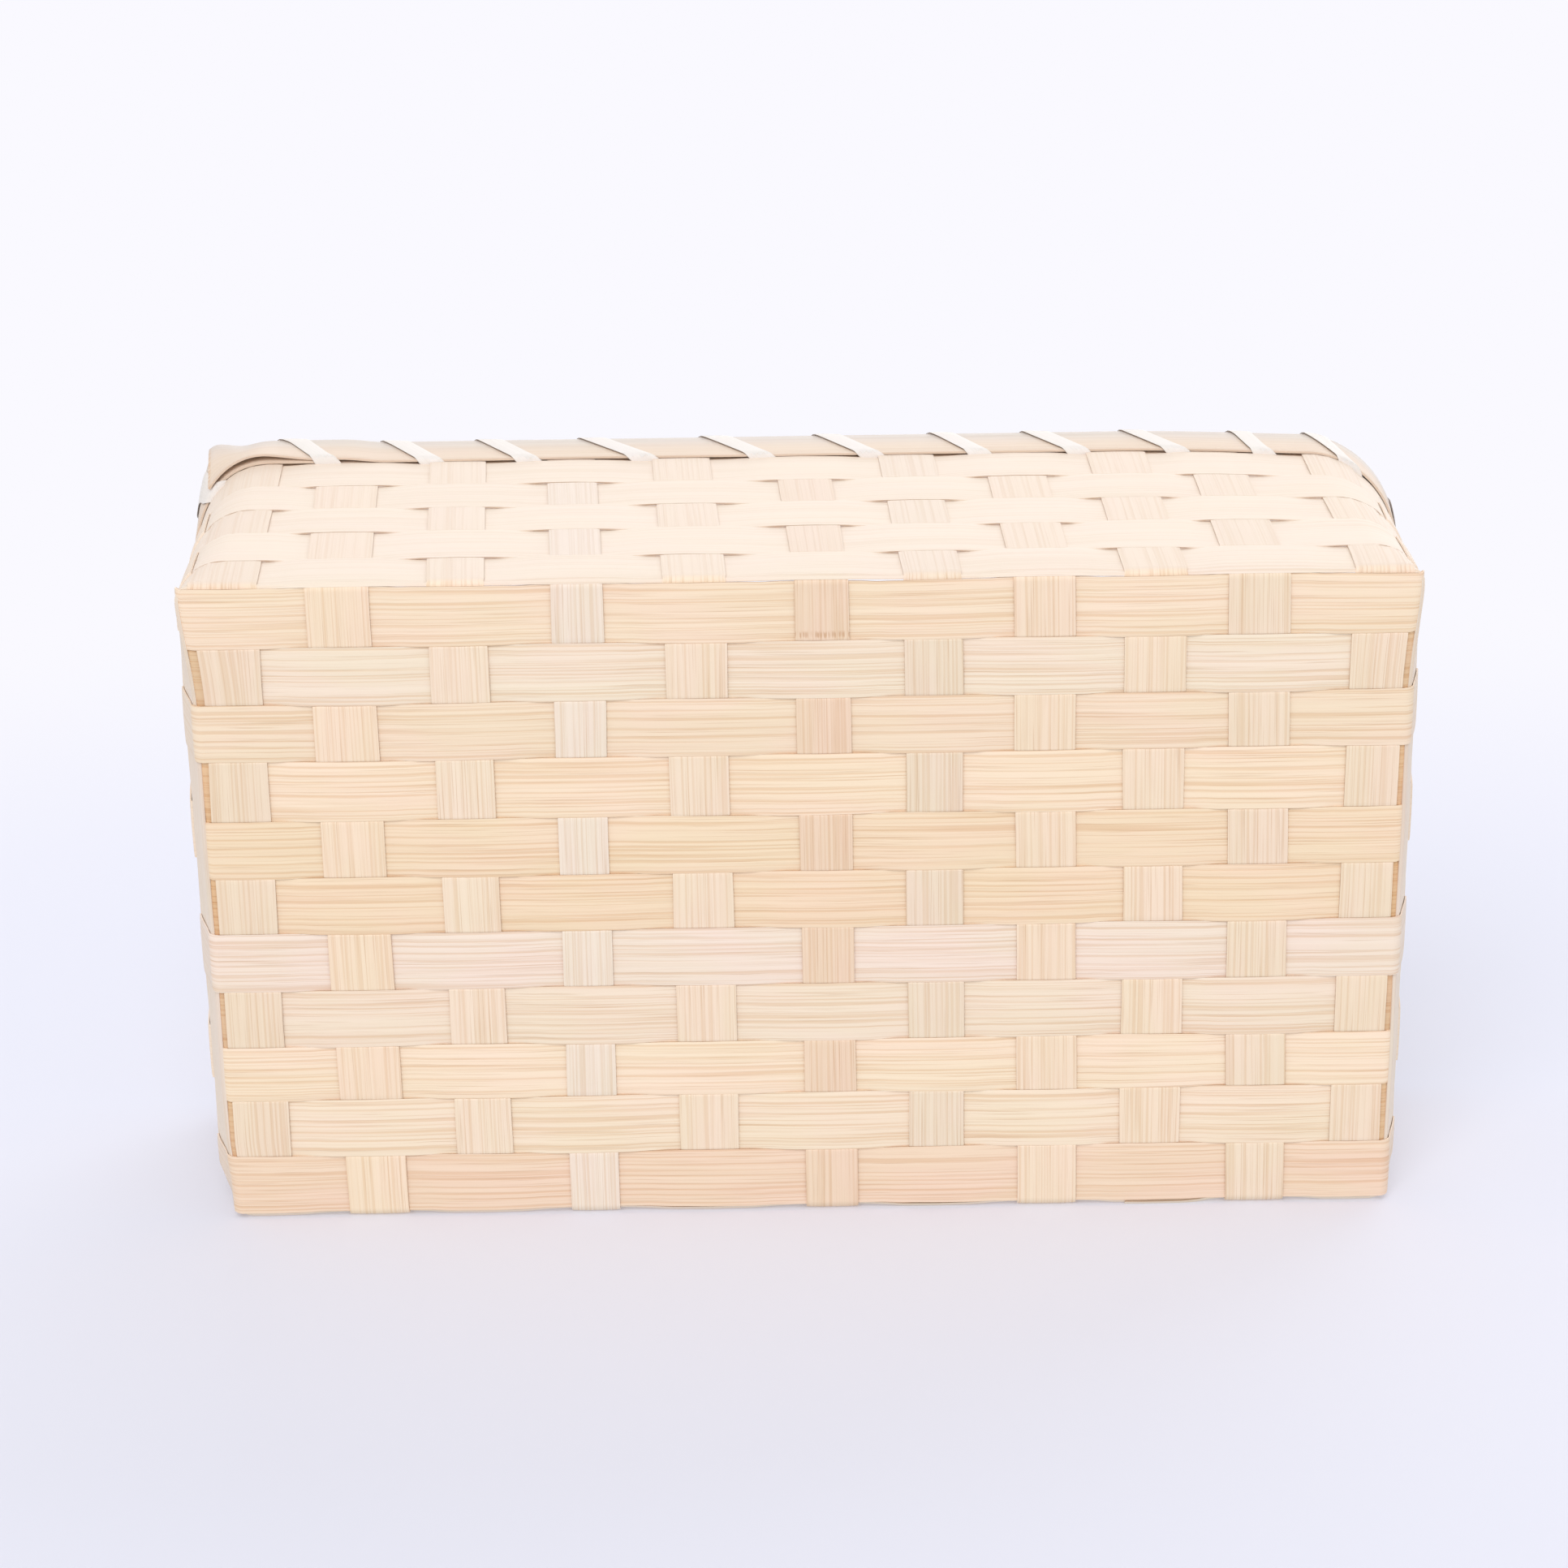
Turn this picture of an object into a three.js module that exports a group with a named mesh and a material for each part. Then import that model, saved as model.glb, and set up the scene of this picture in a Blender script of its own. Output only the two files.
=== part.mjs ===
// A plaited bamboo basket for storing round pressed cakes of tea.
// Millimetres, +Z up, mouth upwards, standing on its floor. X runs along the length.
//
// Eleven long splints cross eleven cross splints in the floor, one over and one under, and all of
// them turn up at the floor's edges to become the stakes of the walls. Five weavers go round the
// stakes. An inner and an outer hoop clamp the stakes' heads, and one long strip lashes them.

import * as THREE from 'three';

// Splints, and the room between two pieces

const splintThickness = 0.6;
const crossingClearance = 0.3;
const edgeClearance = 1.2;
const flatOverhang = 0.15;
const crossingLap = 0.4;

// Floor

const longCount = 11;
const longWidth = 17.7;
const crossCount = 11;
const crossWidth = 17.5;
const crossGap = 17.0;
const endMargin = 3.75;
const sideMargin = 0.6;

// Walls

const bendRadius = 2.5;
const wallFlareDegrees = 5.7;
const weaverCount = 5;
const weaverWidth = 16.5;
const firstWeaverRise = 0.8;
const footCornerRadius = 5;
const rimCornerRadius = 30;
const longWallSpread = 1;
const shortWallSpread = 2;
const longWallWeaverSwing = 0.45;
const shortWallWeaverSwing = 0.1;
const weaverTail = 3;
const firstLapStake = 18;

// Rim

const rimWidth = 15;
const rimThickness = 1.2;
const rimGap = 1.5;
const stakeSetback = 2;
const stakeRampRoom = 0.25;
const tongueWidth = 7;
const tongueTaper = 8;
const hoopLapStart = 66;
const hoopLapRamp = 12;
const hoopLapEnd = 150;

// Lashing

const lashingFoldWidth = 5.5;
const lashingThickness = 0.5;
const lashingTopShift = 7.5;
const lashingTail = 5;
const lashingInnerEase = 25;

// Facets

const bendSteps = 3;
const cornerShares = [0.25, 0.5, 0.75];

// Places worked out from the sizes above

const layerStep = splintThickness + crossingClearance;
const longPitch = longWidth + edgeClearance;
const crossPitch = crossWidth + crossGap;
const lastLong = ((longCount - 1) / 2) * longPitch;
const lastCross = ((crossCount - 1) / 2) * crossPitch;
const floorHalfWidth = lastLong + longWidth / 2 + sideMargin;
const floorHalfLength = lastCross + crossWidth / 2 + endMargin;
const floorMiddle = splintThickness + crossingClearance / 2;
const flare = THREE.MathUtils.degToRad(wallFlareDegrees);
const bendTurn = Math.PI / 2 - flare;
const bendTopOutset = bendRadius * Math.sin(bendTurn);
const bendTopHeight = floorMiddle + bendRadius * (1 - Math.cos(bendTurn));
const weaverPitch = weaverWidth + edgeClearance;
const weaverFoot = (row) => firstWeaverRise + row * weaverPitch;
const weaverHead = (row) => weaverFoot(row) + weaverWidth;
const lastWeaverHead = weaverHead(weaverCount - 1);
const rimFoot = lastWeaverHead + rimGap;
const rimHead = rimFoot + rimWidth;
const stakeHead = rimHead - stakeSetback;
const hoopOffset = splintThickness / 2 + crossingClearance + rimThickness / 2;
const hoopLapStep = rimThickness + crossingClearance;
const lashingOffset = hoopOffset + rimThickness / 2 + crossingClearance + lashingThickness / 2;
const lashingClear = crossingClearance + lashingThickness / 2;

// The four walls in the order of a walk round the basket, anticlockwise from above. A wall knows
// which way is out, which way the walk goes, and its swing: how far a weaver leaves its middle.

const makeWall = (outX, outY, halfAlong, halfOut, outermost, spread, weaverSwing) => ({
  out: new THREE.Vector3(outX, outY, 0),
  walk: new THREE.Vector3(-outY, outX, 0),
  halfAlong,
  halfOut,
  spread: spread / outermost,
  weaverSwing,
  stakeSwing: layerStep - weaverSwing,
});
const longWall = (outY) =>
  makeWall(0, outY, floorHalfLength, floorHalfWidth, lastCross, longWallSpread, longWallWeaverSwing);
const shortWall = (outX) =>
  makeWall(outX, 0, floorHalfWidth, floorHalfLength, lastLong, shortWallSpread, shortWallWeaverSwing);
const walls = [longWall(-1), shortWall(1), longWall(1), shortWall(-1)];

// A wall's outline is straight in the middle and round at its ends, and the corners open out
// quickly at first from the tight foot to the wide rim.

function cornerRadius(climb) {
  const share = Math.sqrt(Math.max(0, climb) / rimHead);
  return footCornerRadius + (rimCornerRadius - footCornerRadius) * share;
}

function straightHalf(wall, climb) {
  return wall.halfAlong + bendTopOutset + climb * Math.sin(flare) - cornerRadius(climb);
}

// A point of a wall: so far along the outline from the wall's middle, so far up its slope from the
// top of the bend, and so far out from the middle of the weave.

function wallPoint(wall, along, climb, offset) {
  const radius = cornerRadius(climb);
  const straight = straightHalf(wall, climb);
  const past = Math.max(0, Math.abs(along) - straight);
  const turn = past / radius;
  const side = Math.sign(along);
  const lateral = side * (Math.min(Math.abs(along), straight) + radius * Math.sin(turn));
  const outset = bendTopOutset + climb * Math.sin(flare) - radius * (1 - Math.cos(turn));
  const outward = wall.out.clone().multiplyScalar(Math.cos(turn));
  outward.addScaledVector(wall.walk, side * Math.sin(turn));
  const normal = outward.multiplyScalar(Math.cos(flare)).setZ(-Math.sin(flare));
  const point = wall.walk.clone().multiplyScalar(lateral);
  point.addScaledVector(wall.out, wall.halfOut + outset);
  point.z = bendTopHeight + climb * Math.cos(flare);
  return point.addScaledVector(normal, offset);
}

// Where a stake stands on its wall: the stakes spread a little as the walls open.

function stakeAlong(wall, centre, climb) {
  return centre * (1 + (wall.spread * climb) / stakeHead);
}

// Evenly spaced places on both sides of the middle

function evenPlaces(count, pitch) {
  const places = [];
  for (let number = 1; number <= count; number += 1) {
    places.push((number - (count + 1) / 2) * pitch);
  }
  return places;
}

const crossPlaces = evenPlaces(crossCount, crossPitch);
const longPlaces = evenPlaces(longCount, longPitch);

// The woven stakes in the order of the walk. Every second long splint only lines the short walls,
// so it isn't woven and isn't in this list.

const wovenLongPlaces = longPlaces.filter((place, index) => index % 2 === 0);
const wovenStakes = [];
walls.forEach((wall, side) => {
  const onLongWall = side % 2 === 0;
  const places = onLongWall ? crossPlaces : wovenLongPlaces;
  const width = onLongWall ? crossWidth : longWidth;
  places.forEach((centre, index) => {
    const first = index === 0;
    const last = index === places.length - 1;
    wovenStakes.push({ wall, side, centre, width, first, last, atCorner: first || last });
  });
});

// A stake is outside a weaver when their two numbers add up to an even one.

function stakeIsOutside(stakeNumber, row) {
  return (stakeNumber + row) % 2 === 0;
}

function wovenStakeNumber(side, centre) {
  return wovenStakes.findIndex((stake) => stake.side === side && stake.centre === centre);
}

// A solid lofted through a row of sections, each a closed loop of the same number of points. The
// first half of a loop is the outer skin and the rest the inner skin, and both are cut into
// triangles along the same diagonals, so a twisted strip keeps its thickness.

function loftSections(sections) {
  const size = sections[0].length;
  const positions = [];
  for (const section of sections) {
    for (const point of section) {
      positions.push(point.x, point.y, point.z);
    }
  }
  const triangles = [];
  for (let row = 0; row < sections.length - 1; row += 1) {
    for (let i = 0; i < size; i += 1) {
      const a = row * size + i;
      const b = row * size + ((i + 1) % size);
      if (i < size / 2) {
        triangles.push([a, b, b + size], [a, b + size, a + size]);
      } else {
        triangles.push([a, b, a + size], [b, b + size, a + size]);
      }
    }
  }
  const end = (sections.length - 1) * size;
  for (let i = 0; i < size / 2 - 1; i += 1) {
    const opposite = size - 1 - i;
    triangles.push([i, opposite - 1, i + 1], [i, opposite, opposite - 1]);
    triangles.push([end + i, end + i + 1, end + opposite - 1]);
    triangles.push([end + i, end + opposite - 1, end + opposite]);
  }
  const geometry = new THREE.BufferGeometry();
  geometry.setAttribute('position', new THREE.Float32BufferAttribute(positions, 3));
  const outward = signedVolume(positions, triangles) > 0;
  geometry.setIndex(triangles.flatMap(([a, b, c]) => (outward ? [a, b, c] : [a, c, b])));
  return geometry;
}

function signedVolume(positions, triangles) {
  const corner = (index) => new THREE.Vector3().fromArray(positions, index * 3);
  let volume = 0;
  for (const [a, b, c] of triangles) {
    volume += corner(a).dot(corner(b).cross(corner(c))) / 6;
  }
  return volume;
}

// A strip's section: a row of places across it, each given by a function of the offset, taken once
// on the outer skin and once, backwards, on the inner skin.

function stripSection(places, offset, thickness) {
  const outer = places.map((place) => place(offset + thickness / 2));
  const inner = places.map((place) => place(offset - thickness / 2));
  return [...outer, ...inner.reverse()];
}

// A splint of the floor. It runs towards its end wall and starts at the wall opposite. Its stations
// go down the start wall, round the bend, over and under across the floor, and up the end wall.

function floorSplint({ endSide, centre, width, crossings, halfRun, atCorner, stakes, lining }) {
  const endWall = walls[endSide];
  const startWall = walls[(endSide + 2) % 4];
  const run = endWall.out;
  const across = endWall.walk;
  const shares = atCorner ? [-0.5, 0, 0.5] : [-0.5, 0.5];

  const wallSection = (wall, climb, offset, stationWidth) => {
    const sign = wall === endWall ? 1 : -1;
    const places = shares.map((share) => (skin) => {
      const along = stakeAlong(wall, sign * centre, climb) + sign * share * stationWidth;
      return wallPoint(wall, along, climb, skin);
    });
    return stripSection(places, offset, splintThickness);
  };

  const bendSection = (direction, turn, offset) => {
    const places = shares.map((share) => (skin) => {
      const reach = halfRun + (bendRadius + skin) * Math.sin(turn);
      const point = run.clone().multiplyScalar(direction * reach);
      point.addScaledVector(across, centre + share * width);
      point.z = floorMiddle + bendRadius - (bendRadius + skin) * Math.cos(turn);
      return point;
    });
    return stripSection(places, offset, splintThickness);
  };

  const floorSection = (reach, offset) => {
    const places = shares.map((share) => (skin) => {
      const point = run.clone().multiplyScalar(reach);
      point.addScaledVector(across, centre + share * width);
      point.z = floorMiddle - skin;
      return point;
    });
    return stripSection(places, offset, splintThickness);
  };

  const wallStations = (wall, side) => {
    const stations = [];
    if (lining) {
      const offset = -(wall.weaverSwing + layerStep);
      stations.push([weaverFoot(0) - flatOverhang, offset, width]);
      stations.push([lastWeaverHead - tongueTaper, offset, width]);
      stations.push([lastWeaverHead + flatOverhang, offset, tongueWidth]);
      stations.push([rimFoot - stakeRampRoom, 0, tongueWidth]);
      stations.push([stakeHead, 0, tongueWidth]);
      return stations;
    }
    for (let row = 0; row < weaverCount; row += 1) {
      const offset = (stakeIsOutside(stakes[side], row) ? 1 : -1) * wall.stakeSwing;
      stations.push([weaverFoot(row) - flatOverhang, offset, width]);
      stations.push([weaverHead(row) + flatOverhang, offset, width]);
    }
    stations.push([rimFoot - stakeRampRoom, 0, width]);
    stations.push([stakeHead, 0, width]);
    return stations;
  };

  const startSide = (endSide + 2) % 4;
  const startStations = wallStations(startWall, startSide);
  const endStations = wallStations(endWall, endSide);
  const firstOffset = crossings[0].offset;
  const lastOffset = crossings[crossings.length - 1].offset;
  const sections = [];
  for (const [climb, offset, stationWidth] of [...startStations].reverse()) {
    sections.push(wallSection(startWall, climb, offset, stationWidth));
  }
  for (let step = bendSteps; step >= 0; step -= 1) {
    const share = step / bendSteps;
    const offset = THREE.MathUtils.lerp(firstOffset, startStations[0][1], share);
    sections.push(bendSection(-1, bendTurn * share, offset));
  }
  for (const { place, halfFlat, offset } of crossings) {
    sections.push(floorSection(place - halfFlat, offset));
    sections.push(floorSection(place + halfFlat, offset));
  }
  for (let step = 0; step <= bendSteps; step += 1) {
    const share = step / bendSteps;
    const offset = THREE.MathUtils.lerp(lastOffset, endStations[0][1], share);
    sections.push(bendSection(1, bendTurn * share, offset));
  }
  for (const [climb, offset, stationWidth] of endStations) {
    sections.push(wallSection(endWall, climb, offset, stationWidth));
  }
  return loftSections(sections);
}

// A cross splint is outside the floor where its number and the long splint's add up to an odd one.

function crossIsOutside(longNumber, crossNumber) {
  return (longNumber + crossNumber) % 2 === 1;
}

function longSplint(number) {
  const centre = longPlaces[number - 1];
  const lining = number % 2 === 0;
  const crossings = crossPlaces.map((place, index) => ({
    place,
    halfFlat: crossWidth / 2 + crossingLap,
    offset: ((crossIsOutside(number, index + 1) ? -1 : 1) * layerStep) / 2,
  }));
  const stakes = { 1: wovenStakeNumber(1, centre), 3: wovenStakeNumber(3, -centre) };
  const atCorner = number === 1 || number === longCount;
  const halfRun = floorHalfLength;
  return floorSplint({
    endSide: 1, centre, width: longWidth, crossings, halfRun, atCorner, stakes, lining,
  });
}

function crossSplint(number) {
  const centre = crossPlaces[number - 1];
  const crossings = longPlaces.map((place, index) => ({
    place: -place,
    halfFlat: longWidth / 2 + flatOverhang,
    offset: ((crossIsOutside(index + 1, number) ? 1 : -1) * layerStep) / 2,
  }));
  crossings.reverse();
  const stakes = { 0: wovenStakeNumber(0, centre), 2: wovenStakeNumber(2, -centre) };
  const atCorner = number === 1 || number === crossCount;
  const halfRun = floorHalfWidth;
  return floorSplint({
    endSide: 0, centre, width: crossWidth, crossings, halfRun, atCorner, stakes, lining: false,
  });
}

// Going round a corner: places between the last stake of one wall and the first of the next, given
// for any climb as a wall and a distance along it.

function cornerPlace(side, share, lastReach, firstReach) {
  return (climb) => {
    const wall = walls[side];
    const nextWall = walls[(side + 1) % 4];
    const eighth = (cornerRadius(climb) * Math.PI) / 4;
    const straight = straightHalf(wall, climb);
    const nextStraight = straightHalf(nextWall, climb);
    if (share <= 0.5) {
      const start = Math.max(lastReach(climb), straight);
      return [wall, THREE.MathUtils.lerp(start, straight + eighth, share * 2)];
    }
    const end = Math.max(-firstReach(climb), nextStraight);
    return [nextWall, -THREE.MathUtils.lerp(end, nextStraight + eighth, (1 - share) * 2)];
  };
}

// The edges of a stake, and its middle too where the wall turns, as places for any climb.

function stakePlaces({ wall, centre, width, atCorner }, lap) {
  const reach = width / 2 + lap;
  const steps = atCorner ? [-reach, 0, reach] : [-reach, reach];
  return steps.map((step) => (climb) => [wall, stakeAlong(wall, centre, climb) + step]);
}

function bandSection(place, foot, head, offset, thickness) {
  const edges = [foot, head].map((climb) => (skin) => wallPoint(...place(climb), climb, skin));
  return stripSection(edges, offset, thickness);
}

// A weaver starts inside one stake, goes once round, and ends outside the next one, so its two ends
// lap. There the start lies a layer further in, and the end a layer further out.

function weaver(row) {
  const total = wovenStakes.length;
  const start = firstLapStake + row;
  const foot = weaverFoot(row);
  const head = weaverHead(row);
  const swing = (number) => {
    const stake = wovenStakes[number % total];
    return (stakeIsOutside(number % total, row) ? -1 : 1) * stake.wall.weaverSwing;
  };
  const sections = [];
  const add = (place, offset) => {
    sections.push(bandSection(place, foot, head, offset, splintThickness));
  };
  for (let number = start; number <= start + total + 1; number += 1) {
    const stake = wovenStakes[number % total];
    const beyond = number === start ? -layerStep : number === start + total + 1 ? layerStep : 0;
    const offset = swing(number) + beyond;
    const places = stakePlaces(stake, crossingLap);
    if (number === start) {
      const tailReach = stake.width / 2 + weaverTail;
      places[0] = (climb) => [stake.wall, stakeAlong(stake.wall, stake.centre, climb) - tailReach];
    }
    places.forEach((place) => add(place, offset));
    const goesRoundCorner = stake.last && number < start + total + 1;
    if (goesRoundCorner) {
      const next = wovenStakes[(number + 1) % total];
      const lastReach = (climb) => places[places.length - 1](climb)[1];
      const firstReach = (climb) => stakePlaces(next, crossingLap)[0](climb)[1];
      for (const share of cornerShares) {
        const between = THREE.MathUtils.lerp(offset, swing(number + 1), share);
        add(cornerPlace(stake.side, share, lastReach, firstReach), between);
      }
    }
  }
  return loftSections(sections);
}

// A rim hoop starts on a short wall, goes once round and laps over its own start round the next
// corner. The outer hoop laps outwards and the inner one inwards.

function rimHoop(direction, startSide) {
  const sections = [];
  const base = direction * hoopOffset;
  const raised = base + direction * hoopLapStep;
  const add = (place, offset) => {
    sections.push(bandSection(place, rimFoot, rimHead, offset, rimThickness));
  };
  const addStake = (stake, offset) => stakePlaces(stake, 0).forEach((place) => add(place, offset));
  const addCorner = (side, offset) => {
    const last = wovenStakes.find((s) => s.side === side && s.last);
    const next = wovenStakes.find((s) => s.side === (side + 1) % 4 && s.first);
    const lastReach = (climb) => stakePlaces(last, 0)[2](climb)[1];
    const firstReach = (climb) => stakePlaces(next, 0)[0](climb)[1];
    addStake(last, offset);
    cornerShares.forEach((share) => add(cornerPlace(side, share, lastReach, firstReach), offset));
    addStake(next, offset);
  };
  const startWall = walls[startSide];
  const endWall = walls[(startSide + 1) % 4];
  add(() => [startWall, hoopLapStart], base);
  for (let corner = 0; corner < 4; corner += 1) {
    addCorner((startSide + corner) % 4, base);
  }
  add(() => [startWall, hoopLapStart - hoopLapRamp - layerStep], base);
  add(() => [startWall, hoopLapStart - layerStep], raised);
  addCorner(startSide, raised);
  add(() => [endWall, -hoopLapEnd], raised);
  return loftSections(sections);
}

// How far a hoop's lap lifts the lashing at a place.

function lapLift(place, hoopSide, ease) {
  const [wall, along] = place(rimHead);
  const onStart = wall === walls[hoopSide] && along > hoopLapStart - hoopLapRamp;
  const onEnd = wall === walls[(hoopSide + 1) % 4] && along < ease - hoopLapEnd;
  return onStart || onEnd ? hoopLapStep : 0;
}

// The lashing is one strip. At each woven stake it comes over the rim, slants down the outside past
// the stake, goes in under the hoops through the gap beside it, and slants up the inside.

const outerHoopStart = 3;
const innerHoopStart = 1;

function rimLashing() {
  const foot = rimFoot - lashingClear;
  const head = rimHead + lashingClear;
  const half = lashingThickness / 2;
  const sections = [];
  const add = (place, climb, offset, climbStep, offsetStep) => {
    const corner = (share, skin) => {
      const height = climb + skin * climbStep;
      const [wall, along] = place(height);
      return wallPoint(wall, along + share * lashingFoldWidth, height, offset + skin * offsetStep);
    };
    sections.push([corner(0.5, half), corner(-0.5, half), corner(-0.5, -half), corner(0.5, -half)]);
  };
  const outside = (place) => lashingOffset + lapLift(place, outerHoopStart, 0);
  const inside = (place) => -lashingOffset - lapLift(place, innerHoopStart, lashingInnerEase);
  const topPlace = ({ wall, centre }, shift) => (climb) => {
    return [wall, stakeAlong(wall, centre, climb) + shift];
  };
  const passPlace = (stake) => (climb) => {
    if (stake.last) {
      return [stake.wall, straightHalf(stake.wall, climb) + (cornerRadius(climb) * Math.PI) / 4];
    }
    const spread = 1 + stake.wall.spread;
    const onLongWall = stake.side % 2 === 0;
    const liningGap = (longWidth / 2 + longPitch * spread - tongueWidth / 2) / 2;
    const shift = onLongWall ? (crossPitch * spread) / 2 : liningGap;
    return [stake.wall, stakeAlong(stake.wall, stake.centre, climb) + shift];
  };
  const first = topPlace(wovenStakes[0], lashingTopShift);
  add(first, head - lashingTail, inside(first), 0, -1);
  add(first, head, inside(first), 1, -1);
  wovenStakes.forEach((stake, number) => {
    const top = topPlace(stake, lashingTopShift);
    const pass = passPlace(stake);
    const middle = (climb) => [stake.wall, (top(climb)[1] + pass(climb)[1]) / 2];
    add(top, head, outside(top), 1, 1);
    add(middle, (head + foot) / 2, (outside(top) + outside(pass)) / 2, 0, 1);
    add(pass, foot, outside(pass), -1, 1);
    add(pass, foot, inside(pass), -1, -1);
    if (number < wovenStakes.length - 1) {
      const next = topPlace(wovenStakes[number + 1], lashingTopShift);
      add(next, head, inside(next), 1, -1);
    }
  });
  const end = topPlace(wovenStakes[0], lashingTopShift - lashingFoldWidth - layerStep);
  add(end, (head + foot) / 2, inside(end), 0, -1);
  return loftSections(sections);
}

// The pieces, each with the colour that it has on the real basket

const basket = new THREE.Group();

function addPiece(name, geometry, color, roughness) {
  const material = new THREE.MeshStandardMaterial({ color, roughness, metalness: 0 });
  const mesh = new THREE.Mesh(geometry, material);
  mesh.name = name;
  basket.add(mesh);
}

const twoDigits = (number) => String(number).padStart(2, '0');
for (let number = 1; number <= longCount; number += 1) {
  addPiece(`long_splint_${twoDigits(number)}`, longSplint(number), 0xf0d9b5, 0.6);
}
for (let number = 1; number <= crossCount; number += 1) {
  addPiece(`cross_splint_${twoDigits(number)}`, crossSplint(number), 0xead2ae, 0.6);
}
for (let row = 0; row < weaverCount; row += 1) {
  addPiece(`side_weaver_${row + 1}`, weaver(row), 0xf3dec0, 0.6);
}
addPiece('inner_rim_hoop', rimHoop(-1, innerHoopStart), 0xe8cda2, 0.55);
addPiece('outer_rim_hoop', rimHoop(1, outerHoopStart), 0xe8cda2, 0.55);
addPiece('rim_lashing', rimLashing(), 0xefe6d8, 0.5);

export default basket;
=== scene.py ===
# %% [markdown]
# # A plaited bamboo basket
#
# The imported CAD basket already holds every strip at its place: eleven long and eleven cross splints,
# five weavers, two rim hoops and a lashing. This lesson lays a softer, livelier strip over each one.
# A real splint is split by hand, so it wavers in width, crowns a little where it passes over its
# neighbour, and shows its fibres.

# %% Load the frame
import math
from collections import namedtuple

import bmesh
import bpy
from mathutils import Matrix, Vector, noise


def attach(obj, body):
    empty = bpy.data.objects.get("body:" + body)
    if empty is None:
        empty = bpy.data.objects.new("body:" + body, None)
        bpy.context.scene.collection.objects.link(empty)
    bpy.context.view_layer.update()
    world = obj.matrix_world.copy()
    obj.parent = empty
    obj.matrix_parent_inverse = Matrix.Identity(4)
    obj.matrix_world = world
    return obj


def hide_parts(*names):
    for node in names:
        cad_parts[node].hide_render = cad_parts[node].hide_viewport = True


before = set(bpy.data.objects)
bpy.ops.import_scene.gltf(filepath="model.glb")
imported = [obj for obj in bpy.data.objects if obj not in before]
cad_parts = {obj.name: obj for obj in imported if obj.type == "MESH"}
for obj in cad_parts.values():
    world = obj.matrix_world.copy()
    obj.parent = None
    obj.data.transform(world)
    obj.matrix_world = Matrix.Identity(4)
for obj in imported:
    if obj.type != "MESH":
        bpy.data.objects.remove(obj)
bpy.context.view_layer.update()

# %% [markdown]
# ## Sizes
#
# Blender works in metres, and a maker of baskets thinks in millimetres, so each size is written as
# a number of millimetres times MM. Most are the CAD basket's sizes. The weavers' seams are the
# photographed ones, and the layers lie closer here: the CAD keeps 0.3 mm between crossing splints,
# and on the real basket they touch.

# %% Sizes
MM = 0.001


def in_mm(*numbers):
    return [number * MM for number in numbers]


SPLINT = 0.6 * MM
LAYER = 0.72 * MM
FLOOR_HALF_LENGTH = 185 * MM
FLOOR_HALF_WIDTH = 103.95 * MM
FLOOR_MIDDLE = 0.75 * MM
BEND = 2.5 * MM
FLARE = math.radians(5.7)
BEND_OUTSET = BEND * math.cos(FLARE)
BEND_TOP = FLOOR_MIDDLE + BEND * (1 - math.sin(FLARE))
BEND_LENGTH = BEND * (math.pi / 2 - FLARE)

WEAVER_SEAMS = in_mm(-2.45, 14.8, 34.9, 53.2, 71.1, 89.4)
WEAVER_COUNT = len(WEAVER_SEAMS) - 1
RIM_FOOT = 89.6 * MM
RIM_HEAD = 104.6 * MM
STAKE_HEAD = 102.6 * MM
FOOT_CORNER = 5 * MM
RIM_CORNER = 30 * MM
print("floor", 2 * FLOOR_HALF_LENGTH, "by", 2 * FLOOR_HALF_WIDTH, "m; rim", RIM_HEAD, "m up the wall")

# %% [markdown]
# ## Walls
#
# The four walls lean outwards, and their corners open from a tight foot to a wide rim. One function
# turns "so far along, so far up, so far out" into a point, and every strip of the walls uses it, so
# strips that touch on the basket touch here too. The walk goes round anticlockwise from above. Four
# pushes then take the newness out of the rim: one corner is pressed in, and at another the hoop's
# free end stands off and squares it. At the two ends the floor is drawn in and the wall swells over it.

# %% Walls
def smooth(share):
    share = min(max(share, 0.0), 1.0)
    return share * share * (3 - 2 * share)


def risen(value, start, full):
    """0 up to start, 1 from full on, and an easy rise between them. Full may also lie below start."""
    return smooth((value - start) / (full - start))


Wall = namedtuple("Wall", "out walk half_along half_out spread lean swing")


def make_wall(out_x, out_y, half_along, half_out, spread, lean, swing):
    out = Vector((out_x, out_y, 0))
    walk = Vector((-out_y, out_x, 0))
    return Wall(out, walk, half_along, half_out, spread, lean, swing)


WALLS = [
    make_wall(0, -1, FLOOR_HALF_LENGTH, FLOOR_HALF_WIDTH, 0.006, -0.055, 0.50 * LAYER),
    make_wall(1, 0, FLOOR_HALF_WIDTH, FLOOR_HALF_LENGTH, 0.021, 0.020, 0.11 * LAYER),
    make_wall(0, 1, FLOOR_HALF_LENGTH, FLOOR_HALF_WIDTH, 0.006, 0.030, 0.50 * LAYER),
    make_wall(-1, 0, FLOOR_HALF_WIDTH, FLOOR_HALF_LENGTH, 0.021, -0.015, 0.11 * LAYER),
]


def corner_radius(climb):
    return FOOT_CORNER + (RIM_CORNER - FOOT_CORNER) * math.sqrt(max(0.0, climb) / RIM_HEAD)


def straight_half(wall, climb):
    return wall.half_along + BEND_OUTSET + climb * math.sin(FLARE) - corner_radius(climb)


def slope_at(climb):
    """How far out and up a wall is at this climb, and how far it leans. Below 0 it is the bend."""
    if climb >= 0:
        return BEND_OUTSET + climb * math.sin(FLARE), BEND_TOP + climb * math.cos(FLARE), FLARE
    bent = math.pi / 2 - FLARE + climb / BEND
    return BEND * math.sin(bent), FLOOR_MIDDLE + BEND * (1 - math.cos(bent)), math.pi / 2 - bent


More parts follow.
